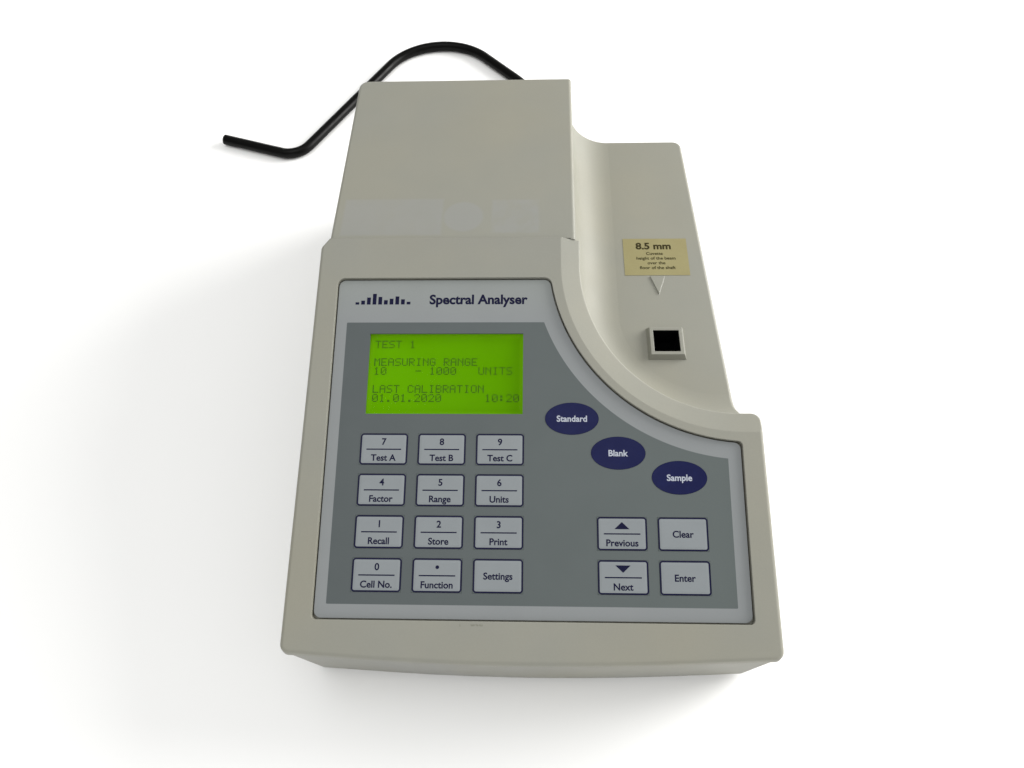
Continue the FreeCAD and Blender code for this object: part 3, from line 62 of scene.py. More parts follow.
def extent(node):
    """A node's lowest and highest corner in the panel's frame."""
    places = [PANEL_TURN.transposed() @ v.co for v in frame["nodes"][node].data.vertices]
    low = Vector([min(p[i] for p in places) for i in range(3)])
    high = Vector([max(p[i] for p in places) for i in range(3)])
    return low, high


def middle_and_size(node):
    low, high = extent(node)
    return (low + high) / 2, high - low


def lay_on_panel(across, up, above):
    """A frame whose XY plane is parallel to the panel."""
    return Matrix.Translation(PANEL_TURN @ Vector((across, up, above))) @ PANEL_TURN.to_4x4()


def flat_at(x, y, z):
    return Matrix.Translation(Vector((x, y, z)))


# ---------------------------------------------------------------- colours

LIT = 0.645  # share of the light that reaches the screen from a surface of full white


def colour(red, green, blue, share=LIT):
    """A colour as it looks on screen, 0 to 255, as the linear colour of the surface itself."""
    def linear(value):
        value /= 255
        return value / 12.92 if value <= 0.04045 else ((value + 0.055) / 1.055) ** 2.4
    return tuple(share * linear(value) for value in (red, green, blue)) + (1.0,)


HOUSING = colour(160, 160, 149)
HOUSING_AGED = colour(163, 161, 146)
TRAY = colour(160, 160, 153)
FOIL_BORDER = colour(153, 157, 158)
FOIL_FIELD = colour(100, 109, 108)
KEY_FACE = colour(151, 157, 160)
NAVY = colour(14, 17, 58)
OVAL_BLUE = colour(8, 18, 76)
DISPLAY_GREEN = colour(96, 160, 0)
DISPLAY_EDGE = colour(112, 172, 10)
DISPLAY_DOT = colour(46, 84, 2)
LABEL_YELLOW = colour(168, 160, 112)
LABEL_INK = colour(62, 56, 30)
LIGHT_INK = colour(196, 202, 214)
BLACK = colour(16, 16, 17)
CABLE_BLACK = colour(14, 14, 13)

# ---------------------------------------------------------------- material helper


class Finish:
    """A material's node tree, with a short call for each kind of node used here."""

    def __init__(self, name):
        self.material = bpy.data.materials.new(name)
        self.material.use_nodes = True
        self.tree = self.material.node_tree
        self.tree.nodes.clear()
        self.place = self.node("ShaderNodeTexCoord").outputs["Object"]

    def node(self, kind, **settings):
        made = self.tree.nodes.new(kind)
        for key, value in settings.items():
            setattr(made, key, value)
        return made

    def feed(self, socket, value):
        if isinstance(value, bpy.types.NodeSocket):
            self.tree.links.new(value, socket)
        else:
            socket.default_value = value

    def math(self, operation, first, second=0.0, third=0.0):
        made = self.node("ShaderNodeMath", operation=operation)
        for socket, value in zip(made.inputs, (first, second, third)):
            self.feed(socket, value)
        return made.outputs[0]

    def along(self, direction, start=0.0):
        """The place measured along a direction, counted from start."""
        made = self.node("ShaderNodeVectorMath", operation="DOT_PRODUCT")
        self.feed(made.inputs[0], self.place)
        self.feed(made.inputs[1], tuple(direction))
        return self.math("SUBTRACT", made.outputs["Value"], start)

    def stretched(self, x, y, z):
        made = self.node("ShaderNodeVectorMath", operation="MULTIPLY")
        self.feed(made.inputs[0], self.place)
        self.feed(made.inputs[1], (x, y, z))
        return made.outputs[0]

    def noise(self, size, detail=3.0, place=None, roughness=0.5):
        """Smooth random values, 0 to 1, whose patches are about size across."""
        made = self.node("ShaderNodeTexNoise")
        self.feed(made.inputs["Vector"], place or self.place)
        self.feed(made.inputs["Scale"], 1 / size)
        self.feed(made.inputs["Detail"], detail)
        self.feed(made.inputs["Roughness"], roughness)
        return made.outputs["Fac"]

    def cells(self, size, feature="F1"):
        made = self.node("ShaderNodeTexVoronoi", feature=feature)
        self.feed(made.inputs["Vector"], self.place)
        self.feed(made.inputs["Scale"], 1 / size)
        return made.outputs["Distance"]

    def span(self, value, low, high, start=0.0, end=1.0):
        """Maps low to start and high to end, and holds both ends."""
        made = self.node("ShaderNodeMapRange", clamp=True)
        for socket, number in zip(made.inputs, (value, low, high, start, end)):
            self.feed(socket, number)
        return made.outputs[0]

    def blend(self, share, first, second):
        made = self.node("ShaderNodeMix", data_type="RGBA")
        self.feed(made.inputs[0], share)
        self.feed(made.inputs[6], first)
        self.feed(made.inputs[7], second)
        return made.outputs[2]

    def shade(self, tint, share, value):
        """tint made darker or lighter by share either way, as value goes from 0 to 1."""
        made = self.node("ShaderNodeHueSaturation")
        self.feed(made.inputs["Color"], tint)
        self.feed(made.inputs["Value"], self.span(value, 0.2, 0.8, 1 - share, 1 + share))
        return made.outputs[0]

    def bump(self, height, depth, normal=None):
        made = self.node("ShaderNodeBump")
        self.feed(made.inputs["Strength"], 1.0)
        self.feed(made.inputs["Distance"], depth)
        self.feed(made.inputs["Height"], height)
        if normal is not None:
            self.feed(made.inputs["Normal"], normal)
        return made.outputs[0]

    def rounded_box(self, middle, half, radius):
        """Distance outside a rounded rectangle on the panel; negative inside it."""
        sides = []
        for direction, centre, reach in zip((ACROSS, UP), middle, half):
            away = self.math("ABSOLUTE", self.along(direction, centre))
            sides.append(self.math("SUBTRACT", away, reach - radius))
        outside = [self.math("MAXIMUM", side, 0.0) for side in sides]
        squares = [self.math("MULTIPLY", side, side) for side in outside]
        corner = self.math("SQRT", self.math("ADD", *squares))
        inside = self.math("MINIMUM", self.math("MAXIMUM", *sides), 0.0)
        return self.math("SUBTRACT", self.math("ADD", corner, inside), radius)

    def round_spot(self, middle, radius):
        """Distance outside a circle on the panel; negative inside it."""
        a = self.along(ACROSS, middle[0])
        b = self.along(UP, middle[1])
        squares = self.math("ADD", self.math("MULTIPLY", a, a), self.math("MULTIPLY", b, b))
        return self.math("SUBTRACT", self.math("SQRT", squares), radius)

    def soft_edges(self, radius):
        """The surface's direction with its sharp edges rounded off."""
        soft = self.node("ShaderNodeBevel", samples=6)
        self.feed(soft.inputs["Radius"], radius)
        return soft.outputs[0]

    def pale_edge_wear_and_highlight(self, radius):
        """0 on flat ground and up to 1 on sharp edges, where paler wear and a painted highlight go."""
        soft = self.node("ShaderNodeBevel", samples=4)
        self.feed(soft.inputs["Radius"], radius)
        sharp = self.node("ShaderNodeNewGeometry")
        dot = self.node("ShaderNodeVectorMath", operation="DOT_PRODUCT")
        self.feed(dot.inputs[0], soft.outputs[0])
        self.feed(dot.inputs[1], sharp.outputs["Normal"])
        return self.span(dot.outputs["Value"], 0.98, 0.8)

    def surface(self, tint, rough, normal=None, **others):
        """Ends the tree with a surface shader; others are its remaining inputs by name."""
        shader = self.node("ShaderNodeBsdfPrincipled")
        self.feed(shader.inputs["Base Color"], tint)
        self.feed(shader.inputs["Roughness"], rough)
        if normal is not None:
            self.feed(shader.inputs["Normal"], normal)
        for key, value in others.items():
            self.feed(shader.inputs[key.replace("_", " ")], value)
        return self.end(shader.outputs[0])

    def end(self, shader):
        self.feed(self.node("ShaderNodeOutputMaterial").inputs["Surface"], shader)
        return self.material


# ---------------------------------------------------------------- plastics and foils

GRAIN = 0.35 * MM  # size of the eroded grain on the housing's plastic


def housing_tint(f, tint, aged):
    """Slow changes of tone, cloudy stains, and the grain's own light and dark."""
    base = f.blend(f.span(f.noise(70 * MM, 3.0), 0.35, 0.7), tint, aged)
    base = f.shade(base, 0.018, f.noise(18 * MM, 4.0))
    return f.shade(base, 0.02, f.noise(GRAIN * 2, 2.0))


def housing_surface(f, base, wear_and_highlight, marks=None):
    """Ends a housing material: pitted grain, edges paler and smoother from wear and a painted highlight,
    marks a bit shiny.
    """
    edge = f.math("MULTIPLY", f.pale_edge_wear_and_highlight(1.2 * MM), wear_and_highlight)
    # edges blended towards a paler tone: partly wear, partly a painted highlight
    base = f.blend(edge, base, colour(190, 189, 178))
    polish = f.span(f.noise(32 * MM, 5.0), 0.3, 0.75, 0.46, 0.58)
    polish = f.math("SUBTRACT", polish, edge)
    if marks is not None:
        polish = f.math("SUBTRACT", polish, f.math("MULTIPLY", marks, 0.12))
    pits = f.math("ADD", f.noise(GRAIN, 2.0), f.math("MULTIPLY", f.cells(GRAIN * 1.6), 0.5))
    normal = f.bump(pits, 0.02 * MM, f.soft_edges(0.5 * MM))
    return f.surface(base, polish, normal, Specular_IOR_Level=0.4)


def front_housing():
    """The keyboard cover's plastic, with a scuff and a nick in front of the foil."""
    f = Finish("front_housing")
    base = housing_tint(f, HOUSING, HOUSING_AGED)
    low, high = extent("keypad_overlay")
    scuff_across, nick_across = low.x + 66.5 * MM, low.x + 60.0 * MM
    scuff_up = low.y - 2.1 * MM
    spots = []
    for across, half_width, half_height in (
        (scuff_across, 2.6 * MM, 0.35 * MM),
        (nick_across, 0.25 * MM, 0.5 * MM),
    ):
        away = f.rounded_box((across, scuff_up), (half_width, half_height), 0.2 * MM)
        spots.append(f.span(away, 0.25 * MM, -0.25 * MM))
    patch = f.math("MULTIPLY", f.math("MAXIMUM", *spots), f.span(f.noise(0.9 * MM, 3.0), 0.4, 0.55))
    base = f.blend(f.math("MULTIPLY", patch, 0.6), base, colour(112, 112, 92))
    return housing_surface(f, base, 0.14, patch)


def tray_housing():
    """The base tray's plastic, a little greyer, its edges paler from wear and a painted highlight."""
    f = Finish("tray_housing")
    return housing_surface(f, housing_tint(f, TRAY, HOUSING_AGED), 0.2)


def rear_housing():
    """The rear cover's plastic, with faint marks where stickers were once on the tower."""
    f = Finish("rear_housing")
    low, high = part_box("rear_cover")
    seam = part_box("front_cover")[1].y
    tower_top = high.z
    base = housing_tint(f, HOUSING, HOUSING_AGED)
    on_top = f.span(f.along((0, 0, 1)), tower_top - 0.4 * MM, tower_top - 0.2 * MM)

    def patch(x, y, width, depth, softness=1.4 * MM):
        a = f.math("SUBTRACT", f.math("ABSOLUTE", f.along((1, 0, 0), x)), width / 2)
        b = f.math("SUBTRACT", f.math("ABSOLUTE", f.along((0, 1, 0), y)), depth / 2)
        return f.span(f.math("MAXIMUM", a, b), softness, 0.0)

    strip = patch(low.x + 33 * MM, seam + 14.4 * MM, 46 * MM, 21.5 * MM)
    square = patch(low.x + 91.5 * MM, seam + 14.5 * MM, 21 * MM, 19.5 * MM)
    a = f.along((1, 0, 0), low.x + 66.8 * MM)
    b = f.along((0, 1, 0), seam + 14.4 * MM)
    ring = f.math("SQRT", f.math("ADD", f.math("MULTIPLY", a, a), f.math("MULTIPLY", b, b)))
    spot = f.span(ring, 10.0 * MM, 8.6 * MM)
    blotch = f.span(f.noise(9 * MM, 3.0), 0.3, 0.6, 0.75, 1.0)
    square = f.math("MULTIPLY", square, f.span(f.noise(7 * MM, 3.0), 0.35, 0.6, 0.35, 0.95))
    ghost = f.math("MAXIMUM", f.math("MULTIPLY", strip, blotch), f.math("MAXIMUM", spot, square))
    ghost = f.math("MULTIPLY", ghost, on_top)
    base = f.blend(f.math("MULTIPLY", ghost, 0.42), base, colour(165, 167, 167))
    return housing_surface(f, base, 0.14, ghost)


def collar_plastic():
    """The collar's plastic; its walls inside the shaft are painted near-black below the rim as painted
    shade, and its edges are paler from wear and a painted highlight.
    """
    f = Finish("collar_plastic")
    low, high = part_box("cuvette_collar")
    middle = (low + high) / 2
    sides = [
        f.math("ABSOLUTE", f.along(direction, start))
        for direction, start in (((1, 0, 0), middle.x), ((0, 1, 0), middle.y))
    ]
    fade = 0.05 * MM
    # painted shade: the shaft's inner walls go near-black a little below the rim
    inside = f.span(f.math("MAXIMUM", *sides), SHADE_HALF_WIDTH + fade, SHADE_HALF_WIDTH - fade)
    below = f.span(f.along((0, 0, 1), high.z), -0.3 * MM, -0.6 * MM)
    dark = f.math("MULTIPLY", inside, below)
    base = f.shade(HOUSING, 0.02, f.noise(5 * MM, 4.0))
    # edges paler from wear and a painted highlight
    base = f.blend(f.math("MULTIPLY", f.pale_edge_wear_and_highlight(0.6 * MM), 0.3), base, colour(200, 200, 190))
    base = f.blend(dark, base, colour(5, 5, 6))
    normal = f.bump(f.noise(GRAIN, 2.0), 0.02 * MM, f.soft_edges(0.4 * MM))
    return f.surface(base, f.span(f.noise(3 * MM), 0.3, 0.7, 0.4, 0.55), normal,
                     Specular_IOR_Level=0.3)


def satin(f, tint, rough=0.42, normal=None):
    """A printed polyester film: a fine even texture under the colour, with handling marks."""
    tint = f.shade(tint, 0.02, f.noise(25 * MM, 4.0))
    tint = f.shade(tint, 0.012, f.noise(0.5 * MM, 2.0))
    smear = f.span(f.noise(14 * MM, 5.0, roughness=0.65), 0.35, 0.7, rough - 0.07, rough + 0.08)
    texture = f.bump(f.noise(0.25 * MM, 2.0), 0.004 * MM, normal)
    return f.surface(tint, smear, texture, Specular_IOR_Level=0.16)


def printed_foil():
    """The keyboard's foil: a light border with a darker field that follows the round bay, with painted
    light making the border lighter towards the back and the field lighter towards the right.
    """
    f = Finish("printed_foil")
    low, high = extent("keypad_overlay")
    left, right = low.x + 4.7 * MM, high.x - 5.5 * MM
    bottom, top = low.y + 5.45 * MM, high.y - 20.5 * MM
    middle = ((left + right) / 2, (bottom + top) / 2)
    half = ((right - left) / 2, (top - bottom) / 2)
    field = f.rounded_box(middle, half, 0.5 * MM)
    bay = f.round_spot((high.x + 4.2 * MM, high.y + 10.1 * MM), 92.4 * MM)
    outside = f.math("MAXIMUM", field, f.math("MULTIPLY", bay, -1.0))
    inside = f.span(outside, 0.08 * MM, -0.08 * MM)
    # painted light: the border grows lighter towards its top edge, at the back of the panel
    border = f.blend(f.span(f.along(UP), top, high.y), FOIL_BORDER, colour(158, 163, 160))
    # painted light: the grey field grows lighter towards the right, the lit side
    painted_light_across = f.span(f.along(ACROSS), left, right)
    grey = f.blend(painted_light_across, colour(97, 104, 105), colour(107, 115, 114))
    return satin(f, f.blend(inside, border, grey))


def key_print(node):
    """A key's light face inside a thin dark outline with round corners."""
    f = Finish("print_" + node)
    middle, size = middle_and_size(node)
    edge = f.rounded_box(middle, (size.x / 2, size.y / 2), 1.4 * MM)
    line = f.span(edge, -0.75 * MM, -0.6 * MM)
    outside = f.span(edge, -0.02 * MM, 0.06 * MM)
    tint = f.blend(line, f.shade(KEY_FACE, 0.03, f.noise(9 * MM, 3.0)), NAVY)
    tint = f.blend(outside, tint, FOIL_FIELD)
    crown = f.bump(f.span(edge, -1.6 * MM, -0.2 * MM, 1.0, 0.0), 0.12 * MM)
    return satin(f, tint, 0.4, crown)


def oval_print():
    """Dark blue printing on the three oval keys, a little rubbed where fingers land."""
    f = Finish("oval_print")
    rub = f.span(f.noise(5 * MM, 4.0), 0.5, 0.8, 0.0, 0.35)
    tint = f.blend(rub, OVAL_BLUE, colour(20, 32, 94))
    return satin(f, tint, 0.38)


def ink(name, tint, rough=0.5):
    """Screen-printed ink: nearly even, slightly thin in places."""
    f = Finish(name)
    thin = f.span(f.noise(0.6 * MM, 3.0), 0.45, 0.8, 0.0, 0.15)
    paler = tuple(min(1.0, part * 1.6 + 0.01) for part in tint[:3]) + (1.0,)
    return f.surface(f.blend(thin, tint, paler),
                     f.span(f.noise(2 * MM), 0.3, 0.7, rough - 0.08, rough + 0.08),
                     f.bump(f.noise(0.3 * MM), 0.003 * MM), Specular_IOR_Level=0.12)


def film(name, tint):
    """Plain film of the keyboard's inner layers."""
    f = Finish(name)
    tint = f.shade(tint, 0.05, f.noise(8 * MM, 4.0))
    return f.surface(tint, f.span(f.noise(3 * MM), 0.3, 0.7, 0.3, 0.5),
                     f.bump(f.noise(0.4 * MM), 0.005 * MM))


def clear_window():
    """Clear acrylic: what lies behind it, with a very faint reflection over it."""
    f = Finish("clear_window")
    glance = f.node("ShaderNodeFresnel")
    f.feed(glance.inputs["IOR"], 1.45)
    gloss = f.node("ShaderNodeBsdfAnisotropic")
    f.feed(gloss.inputs["Roughness"], f.span(f.noise(20 * MM, 4.0), 0.3, 0.7, 0.04, 0.12))
    clear = f.node("ShaderNodeBsdfTransparent")
    f.feed(clear.inputs["Color"], (0.97, 0.98, 0.96, 1.0))
    both = f.node("ShaderNodeMixShader")
    f.feed(both.inputs[0], f.math("MULTIPLY", glance.outputs[0], 0.02))
    f.feed(both.inputs[1], clear.outputs[0])
    f.feed(both.inputs[2], gloss.outputs[0])
    return f.end(both.outputs[0])


def display_glass():
    """The display's face: green, brighter along its border, with a faint grid of dots."""
    f = Finish("display_glass")
    middle, size = middle_and_size("display_window")
    edge = f.rounded_box(middle, (size.x / 2 - 1.4 * MM, size.y / 2 - 1.4 * MM), 0.5 * MM)
    rim = f.span(edge, -2.2 * MM, -0.2 * MM, 0.0, 0.7)
    glow = f.span(f.along(ACROSS, middle.x), -30 * MM, 34 * MM)
    tint = f.blend(glow, DISPLAY_GREEN, colour(88, 146, 0))
    tint = f.blend(rim, tint, DISPLAY_EDGE)
    tint = f.shade(tint, 0.03, f.noise(15 * MM, 3.0))
    rows = [f.math("FRACT", f.math("DIVIDE", f.along(d), DOT_PITCH)) for d in (ACROSS, UP)]
    gaps = [f.span(f.math("ABSOLUTE", f.math("SUBTRACT", row, 0.5)), 0.36, 0.46) for row in rows]
    grid = f.math("MAXIMUM", *gaps)
    tint = f.blend(f.math("MULTIPLY", grid, 0.12), tint, DISPLAY_EDGE)
    return f.surface(tint, f.span(f.noise(6 * MM), 0.3, 0.7, 0.25, 0.35),
                     f.bump(f.noise(0.5 * MM), 0.002 * MM),
                     Specular_IOR_Level=0.0, Emission_Color=tint, Emission_Strength=0.5)


def label_film():
    """Yellowed label stock with fine paper-like mottling."""
    f = Finish("label_film")
    tint = f.blend(f.span(f.noise(16 * MM, 4.0), 0.3, 0.7), LABEL_YELLOW, colour(162, 152, 104))
    tint = f.shade(tint, 0.03, f.noise(0.9 * MM, 3.0))
    return f.surface(tint, f.span(f.noise(2 * MM), 0.3, 0.7, 0.4, 0.55),
                     f.bump(f.noise(0.5 * MM, 4.0), 0.01 * MM))


def black_plastic(name, rough=0.45, depth=0.015 * MM, tint=BLACK):
    f = Finish(name)
    edge = f.pale_edge_wear_and_highlight(0.5 * MM)
    base = f.shade(tint, 0.25, f.noise(6 * MM, 4.0))
    # edges paler: partly wear, partly a painted highlight
    base = f.blend(f.math("MULTIPLY", edge, 0.3), base, colour(58, 58, 60))
    polish = f.span(f.noise(3 * MM, 4.0), 0.3, 0.7, rough - 0.08, rough + 0.1)
    return f.surface(base, polish, f.bump(f.noise(0.3 * MM, 2.0), depth))


def shaft_black():
    """Matt black anodising of the cuvette holder, rubbed a little down the shaft's corners."""
    f = Finish("shaft_black")
    base = f.shade(colour(6, 6, 7), 0.3, f.noise(4 * MM, 4.0))
    scratches = f.noise(0.5 * MM, 3.0, f.stretched(1.0, 1.0, 0.08))
    base = f.blend(f.span(scratches, 0.62, 0.7, 0.0, 0.2), base, colour(52, 52, 54))
    return f.surface(base, f.span(f.noise(2 * MM), 0.3, 0.7, 0.55, 0.75),
                     f.bump(scratches, 0.01 * MM))


def cord_sheath():
    """Soft black cord with a satin skin, dusty in places."""
    f = Finish("cord_sheath")
    dust = f.span(f.noise(6 * MM, 6.0, roughness=0.7), 0.5, 0.75)
    base = f.blend(f.math("MULTIPLY", dust, 0.2), CABLE_BLACK, colour(34, 33, 31))
    return f.surface(base, f.span(f.noise(9 * MM, 4.0), 0.3, 0.7, 0.3, 0.48),
                     f.bump(f.noise(0.7 * MM, 3.0), 0.02 * MM), Specular_IOR_Level=0.12)


def soft_rubber():
    f = Finish("soft_rubber")
    dust = f.span(f.noise(2.5 * MM, 6.0), 0.5, 0.8)
    base = f.blend(f.math("MULTIPLY", dust, 0.5), colour(24, 24, 24), colour(70, 69, 66))
    return f.surface(base, f.span(dust, 0, 1, 0.7, 0.9), f.bump(f.noise(0.6 * MM, 3.0), 0.03 * MM))


# ---------------------------------------------------------------- metals, glass, electronics

def metal(name, tint, rough, direction=(1.0, 1.0, 1.0), depth=0.006 * MM):
    """Bare or plated metal; direction squeezes the noise, which draws it out as brush lines."""
    f = Finish(name)
    lines = f.noise(0.5 * MM, 4.0, f.stretched(*direction))
    base = f.shade(tint, 0.08, f.noise(7 * MM, 5.0))
    base = f.shade(base, 0.05, lines)
    polish = f.span(lines, 0.25, 0.75, rough - 0.08, rough + 0.12)
    return f.surface(base, polish, f.bump(lines, depth), Metallic=1.0)


def lens_glass():
    f = Finish("lens_glass")
    return f.surface(colour(240, 246, 248, 1.0), f.span(f.noise(4 * MM), 0.3, 0.7, 0.0, 0.06),
                     f.bump(f.noise(1 * MM), 0.001 * MM), Transmission_Weight=1.0, IOR=1.5)


def circuit_green():
    """Solder mask over copper tracks that run in both directions."""
    f = Finish("circuit_green")
    steps = [f.math("FRACT", f.math("DIVIDE", f.along(d), 2.54 * MM)) for d in ((1, 0, 0), UP)]
    lines = [f.span(f.math("ABSOLUTE", f.math("SUBTRACT", s, 0.5)), 0.14, 0.1) for s in steps]
    gate = f.span(f.noise(9 * MM, 1.0), 0.49, 0.51)
    track = f.blend(gate, lines[0], lines[1])
    base = f.blend(f.math("MULTIPLY", track, 0.6), colour(18, 70, 42), colour(40, 110, 66))
    base = f.shade(base, 0.06, f.noise(12 * MM, 4.0))
    return f.surface(base, f.span(f.noise(3 * MM), 0.3, 0.7, 0.22, 0.4), f.bump(track, 0.03 * MM))


def ribbon_stripes():
    """Flat cable: one ridge per wire."""
    f = Finish("ribbon_stripes")
    phase = f.math("FRACT", f.math("DIVIDE", f.along((1, 0, 0)), 1.27 * MM))
    ridge = f.math("SINE", f.math("MULTIPLY", phase, math.pi))
    # painted shade: darker grey in the grooves between wires, lighter on the ridges
    base = f.blend(ridge, colour(120, 120, 118), colour(170, 170, 166))
    base = f.shade(base, 0.04, f.noise(10 * MM))
    return f.surface(base, f.span(f.noise(5 * MM), 0.3, 0.7, 0.35, 0.5), f.bump(ridge, 0.2 * MM))


def floor_paint():
    f = Finish("floor_paint")
    base = f.shade(colour(243, 243, 242, 1.0), 0.006, f.noise(300 * MM, 3.0))
    return f.surface(base, f.span(f.noise(150 * MM), 0.3, 0.7, 0.75, 0.9), Specular_IOR_Level=0.15)


# ---------------------------------------------------------------- lettering

def glyph_mesh(words, height, heavy=0.0):
    """Words as a thin flat mesh, centred on its origin; height is that of a capital letter."""
    capital_share = 0.7  # a capital's height over the font's size
    curve = bpy.data.curves.new("words", "FONT")
    curve.body = words
    curve.size = height / capital_share
    curve.offset = heavy
    curve.extrude = INK / 2
    curve.resolution_u = 4
    holder = bpy.data.objects.new("words", curve)
    bpy.context.scene.collection.objects.link(holder)
    mesh = bpy.data.meshes.new_from_object(
        holder.evaluated_get(bpy.context.evaluated_depsgraph_get())
    )
    bpy.data.objects.remove(holder)
    xs = [v.co.x for v in mesh.vertices]
    shift = Vector((-(min(xs) + max(xs)) / 2, -height / 2, INK / 2))
    mesh.transform(Matrix.Translation(shift))
    return mesh


def plate_mesh(outline, thickness=INK):
    """A thin plate with an outline, standing on its XY plane."""
    bm = bmesh.new()
    low = [bm.verts.new((x, y, 0)) for x, y in outline]
    high = [bm.verts.new((x, y, thickness)) for x, y in outline]
    bm.faces.new(high)
    bm.faces.new(low[::-1])
    count = len(outline)
    for i in range(count):
        j = (i + 1) % count
        bm.faces.new((low[i], low[j], high[j], high[i]))
    mesh = bpy.data.meshes.new("plate")
    bm.to_mesh(mesh)
    bm.free()
    return mesh


def bar_mesh(width, height):
    a, b = width / 2, height / 2
    return plate_mesh([(-a, -b), (a, -b), (a, b), (-a, b)])


def triangle_mesh(width, height):
    return plate_mesh([(-width / 2, -height / 2), (width / 2, -height / 2), (0, height / 2)])


def disc_mesh(radius, sides=20):
    turns = [2 * math.pi * i / sides for i in range(sides)]
    return plate_mesh([(radius * math.cos(t), radius * math.sin(t)) for t in turns])


def ring_mesh(outer, inner, sides=28):
    """A thin flat ring, built from one block per side."""
    bm = bmesh.new()
    loops = []
    for radius, height in ((outer, 0), (inner, 0), (inner, INK), (outer, INK)):
        turns = [2 * math.pi * i / sides for i in range(sides)]
        loops.append([bm.verts.new((radius * math.cos(t), radius * math.sin(t), height)) for t in turns])
    for k, loop in enumerate(loops):
        following = loops[(k + 1) % len(loops)]
        for i in range(sides):
            j = (i + 1) % sides
            bm.faces.new((loop[i], loop[j], following[j], following[i]))
    mesh = bpy.data.meshes.new("ring")
    bm.to_mesh(mesh)
    bm.free()
    return mesh


def joined(name, parts, place, body, material):
    """One piece made of (mesh, x, y) parts, laid in a plane and riding on a body."""
    bm = bmesh.new()
    for mesh, x, y in parts:
        mesh.transform(Matrix.Translation(Vector((x, y, 0))))
        bm.from_mesh(mesh)
        bpy.data.meshes.remove(mesh)
    bmesh.ops.remove_doubles(bm, verts=bm.verts, dist=1e-7)
    bmesh.ops.dissolve_degenerate(bm, edges=bm.edges, dist=1e-7)
    bmesh.ops.recalc_face_normals(bm, faces=bm.faces)
    bm.transform(place)
    mesh = bpy.data.meshes.new(name)
    bm.to_mesh(mesh)
    bm.free()
    mesh.materials.append(material)
    piece = bpy.data.objects.new(name, mesh)
    bpy.context.scene.collection.objects.link(piece)
    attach(piece, body)


# ---------------------------------------------------------------- printing on the keys

NUMBER_HEIGHT = 2.8 * MM
WORD_HEIGHT = 2.7 * MM
NUMBER_RISE = 3.3 * MM
WORD_DROP = -3.7 * MM
DIVIDER = (15.0 * MM, 0.5 * MM)
STROKE_GAIN = 0.09 * MM  # how much the printed strokes are widened on each side

KEY_WORDS = {
    "key_7": ("7", "Test A"), "key_8": ("8", "Test B"), "key_9": ("9", "Test C"),
    "key_4": ("4", "Factor"), "key_5": ("5", "Range"), "key_6": ("6", "Units"),
    "key_1": ("1", "Recall"), "key_2": ("2", "Store"), "key_3": ("3", "Print"),
    "key_0": ("0", "Cell No."), "key_point": ("point", "Function"), "key_setup": (None, "Settings"),
    "key_up": ("up", "Previous"), "key_down": ("down", "Next"),
    "key_clear": (None, "Clear"), "key_enter": (None, "Enter"),
}
OVAL_WORDS = {"key_standard": "Standard", "key_blank": "Blank", "key_sample": "Sample"}
OVAL_WORD_HEIGHT = 2.6 * MM


def key_sign(sign):
    if sign == "point":
        return disc_mesh(0.75 * MM)
    if sign in ("up", "down"):
        mesh = triangle_mesh(6.2 * MM, 2.9 * MM)
        if sign == "down":
            mesh.transform(Matrix.Rotation(math.pi, 4, "Z"))
        return mesh
    return glyph_mesh(sign, NUMBER_HEIGHT, heavy=STROKE_GAIN)


def print_keys(dark, light):
    for node, (sign, word) in KEY_WORDS.items():
        middle, _ = middle_and_size(node)
        top = extent(node)[1].z
        if sign is None:
            parts = [(glyph_mesh(word, WORD_HEIGHT, heavy=STROKE_GAIN), 0, 0)]
        else:
            parts = [
                (key_sign(sign), 0, NUMBER_RISE),
                (bar_mesh(*DIVIDER), 0, -0.1 * MM),
                (glyph_mesh(word, WORD_HEIGHT, heavy=STROKE_GAIN), 0, WORD_DROP),
            ]
        joined("legend_" + node, parts, lay_on_panel(middle.x, middle.y, top), node, dark)
    for node, word in OVAL_WORDS.items():
        middle, _ = middle_and_size(node)
        top = extent(node)[1].z
        parts = [(glyph_mesh(word, OVAL_WORD_HEIGHT, heavy=STROKE_GAIN), 0, 0)]
        joined("legend_" + node, parts, lay_on_panel(middle.x, middle.y, top), node, light)


def print_heading(dark):
    """A plain heading over the display: a row of bars of unequal height and two generic words."""
    low, high = extent("keypad_overlay")
    line_up = high.y - 9.4 * MM
    bars_middle = low.x + 20.5 * MM
    words_middle = low.x + 64 * MM
    foot = -2.4 * MM  # the bars stand this far below the line's middle
    pitch, width = 2.6 * MM, 1.7 * MM
    heights = [1.1, 1.9, 3.4, 5.2, 3.7, 2.1, 2.8, 3.9, 2.5, 1.3]
    bars = []
    for i, tall in enumerate(heights):
        across = (i - (len(heights) - 1) / 2) * pitch
        bars.append((bar_mesh(width, tall * MM), across, foot + tall * MM / 2))
    place = lay_on_panel(bars_middle, line_up, high.z)
    joined("heading_curve", bars, place, "housing", dark)
    words = [(glyph_mesh("Spectral Analyser", 4.4 * MM, heavy=0.2 * MM), 0, 0)]
    place = lay_on_panel(words_middle, line_up, high.z)
    joined("heading_words", words, place, "housing", dark)


# ---------------------------------------------------------------- the display's dots

DOT_PITCH = 0.52 * MM
DOT_WIDTH = 0.44 * MM
LETTER_DOTS = (6, 8)  # a letter's cell: dots across and dots down
SCREEN_LETTERS = 21  # letters across a line of the display

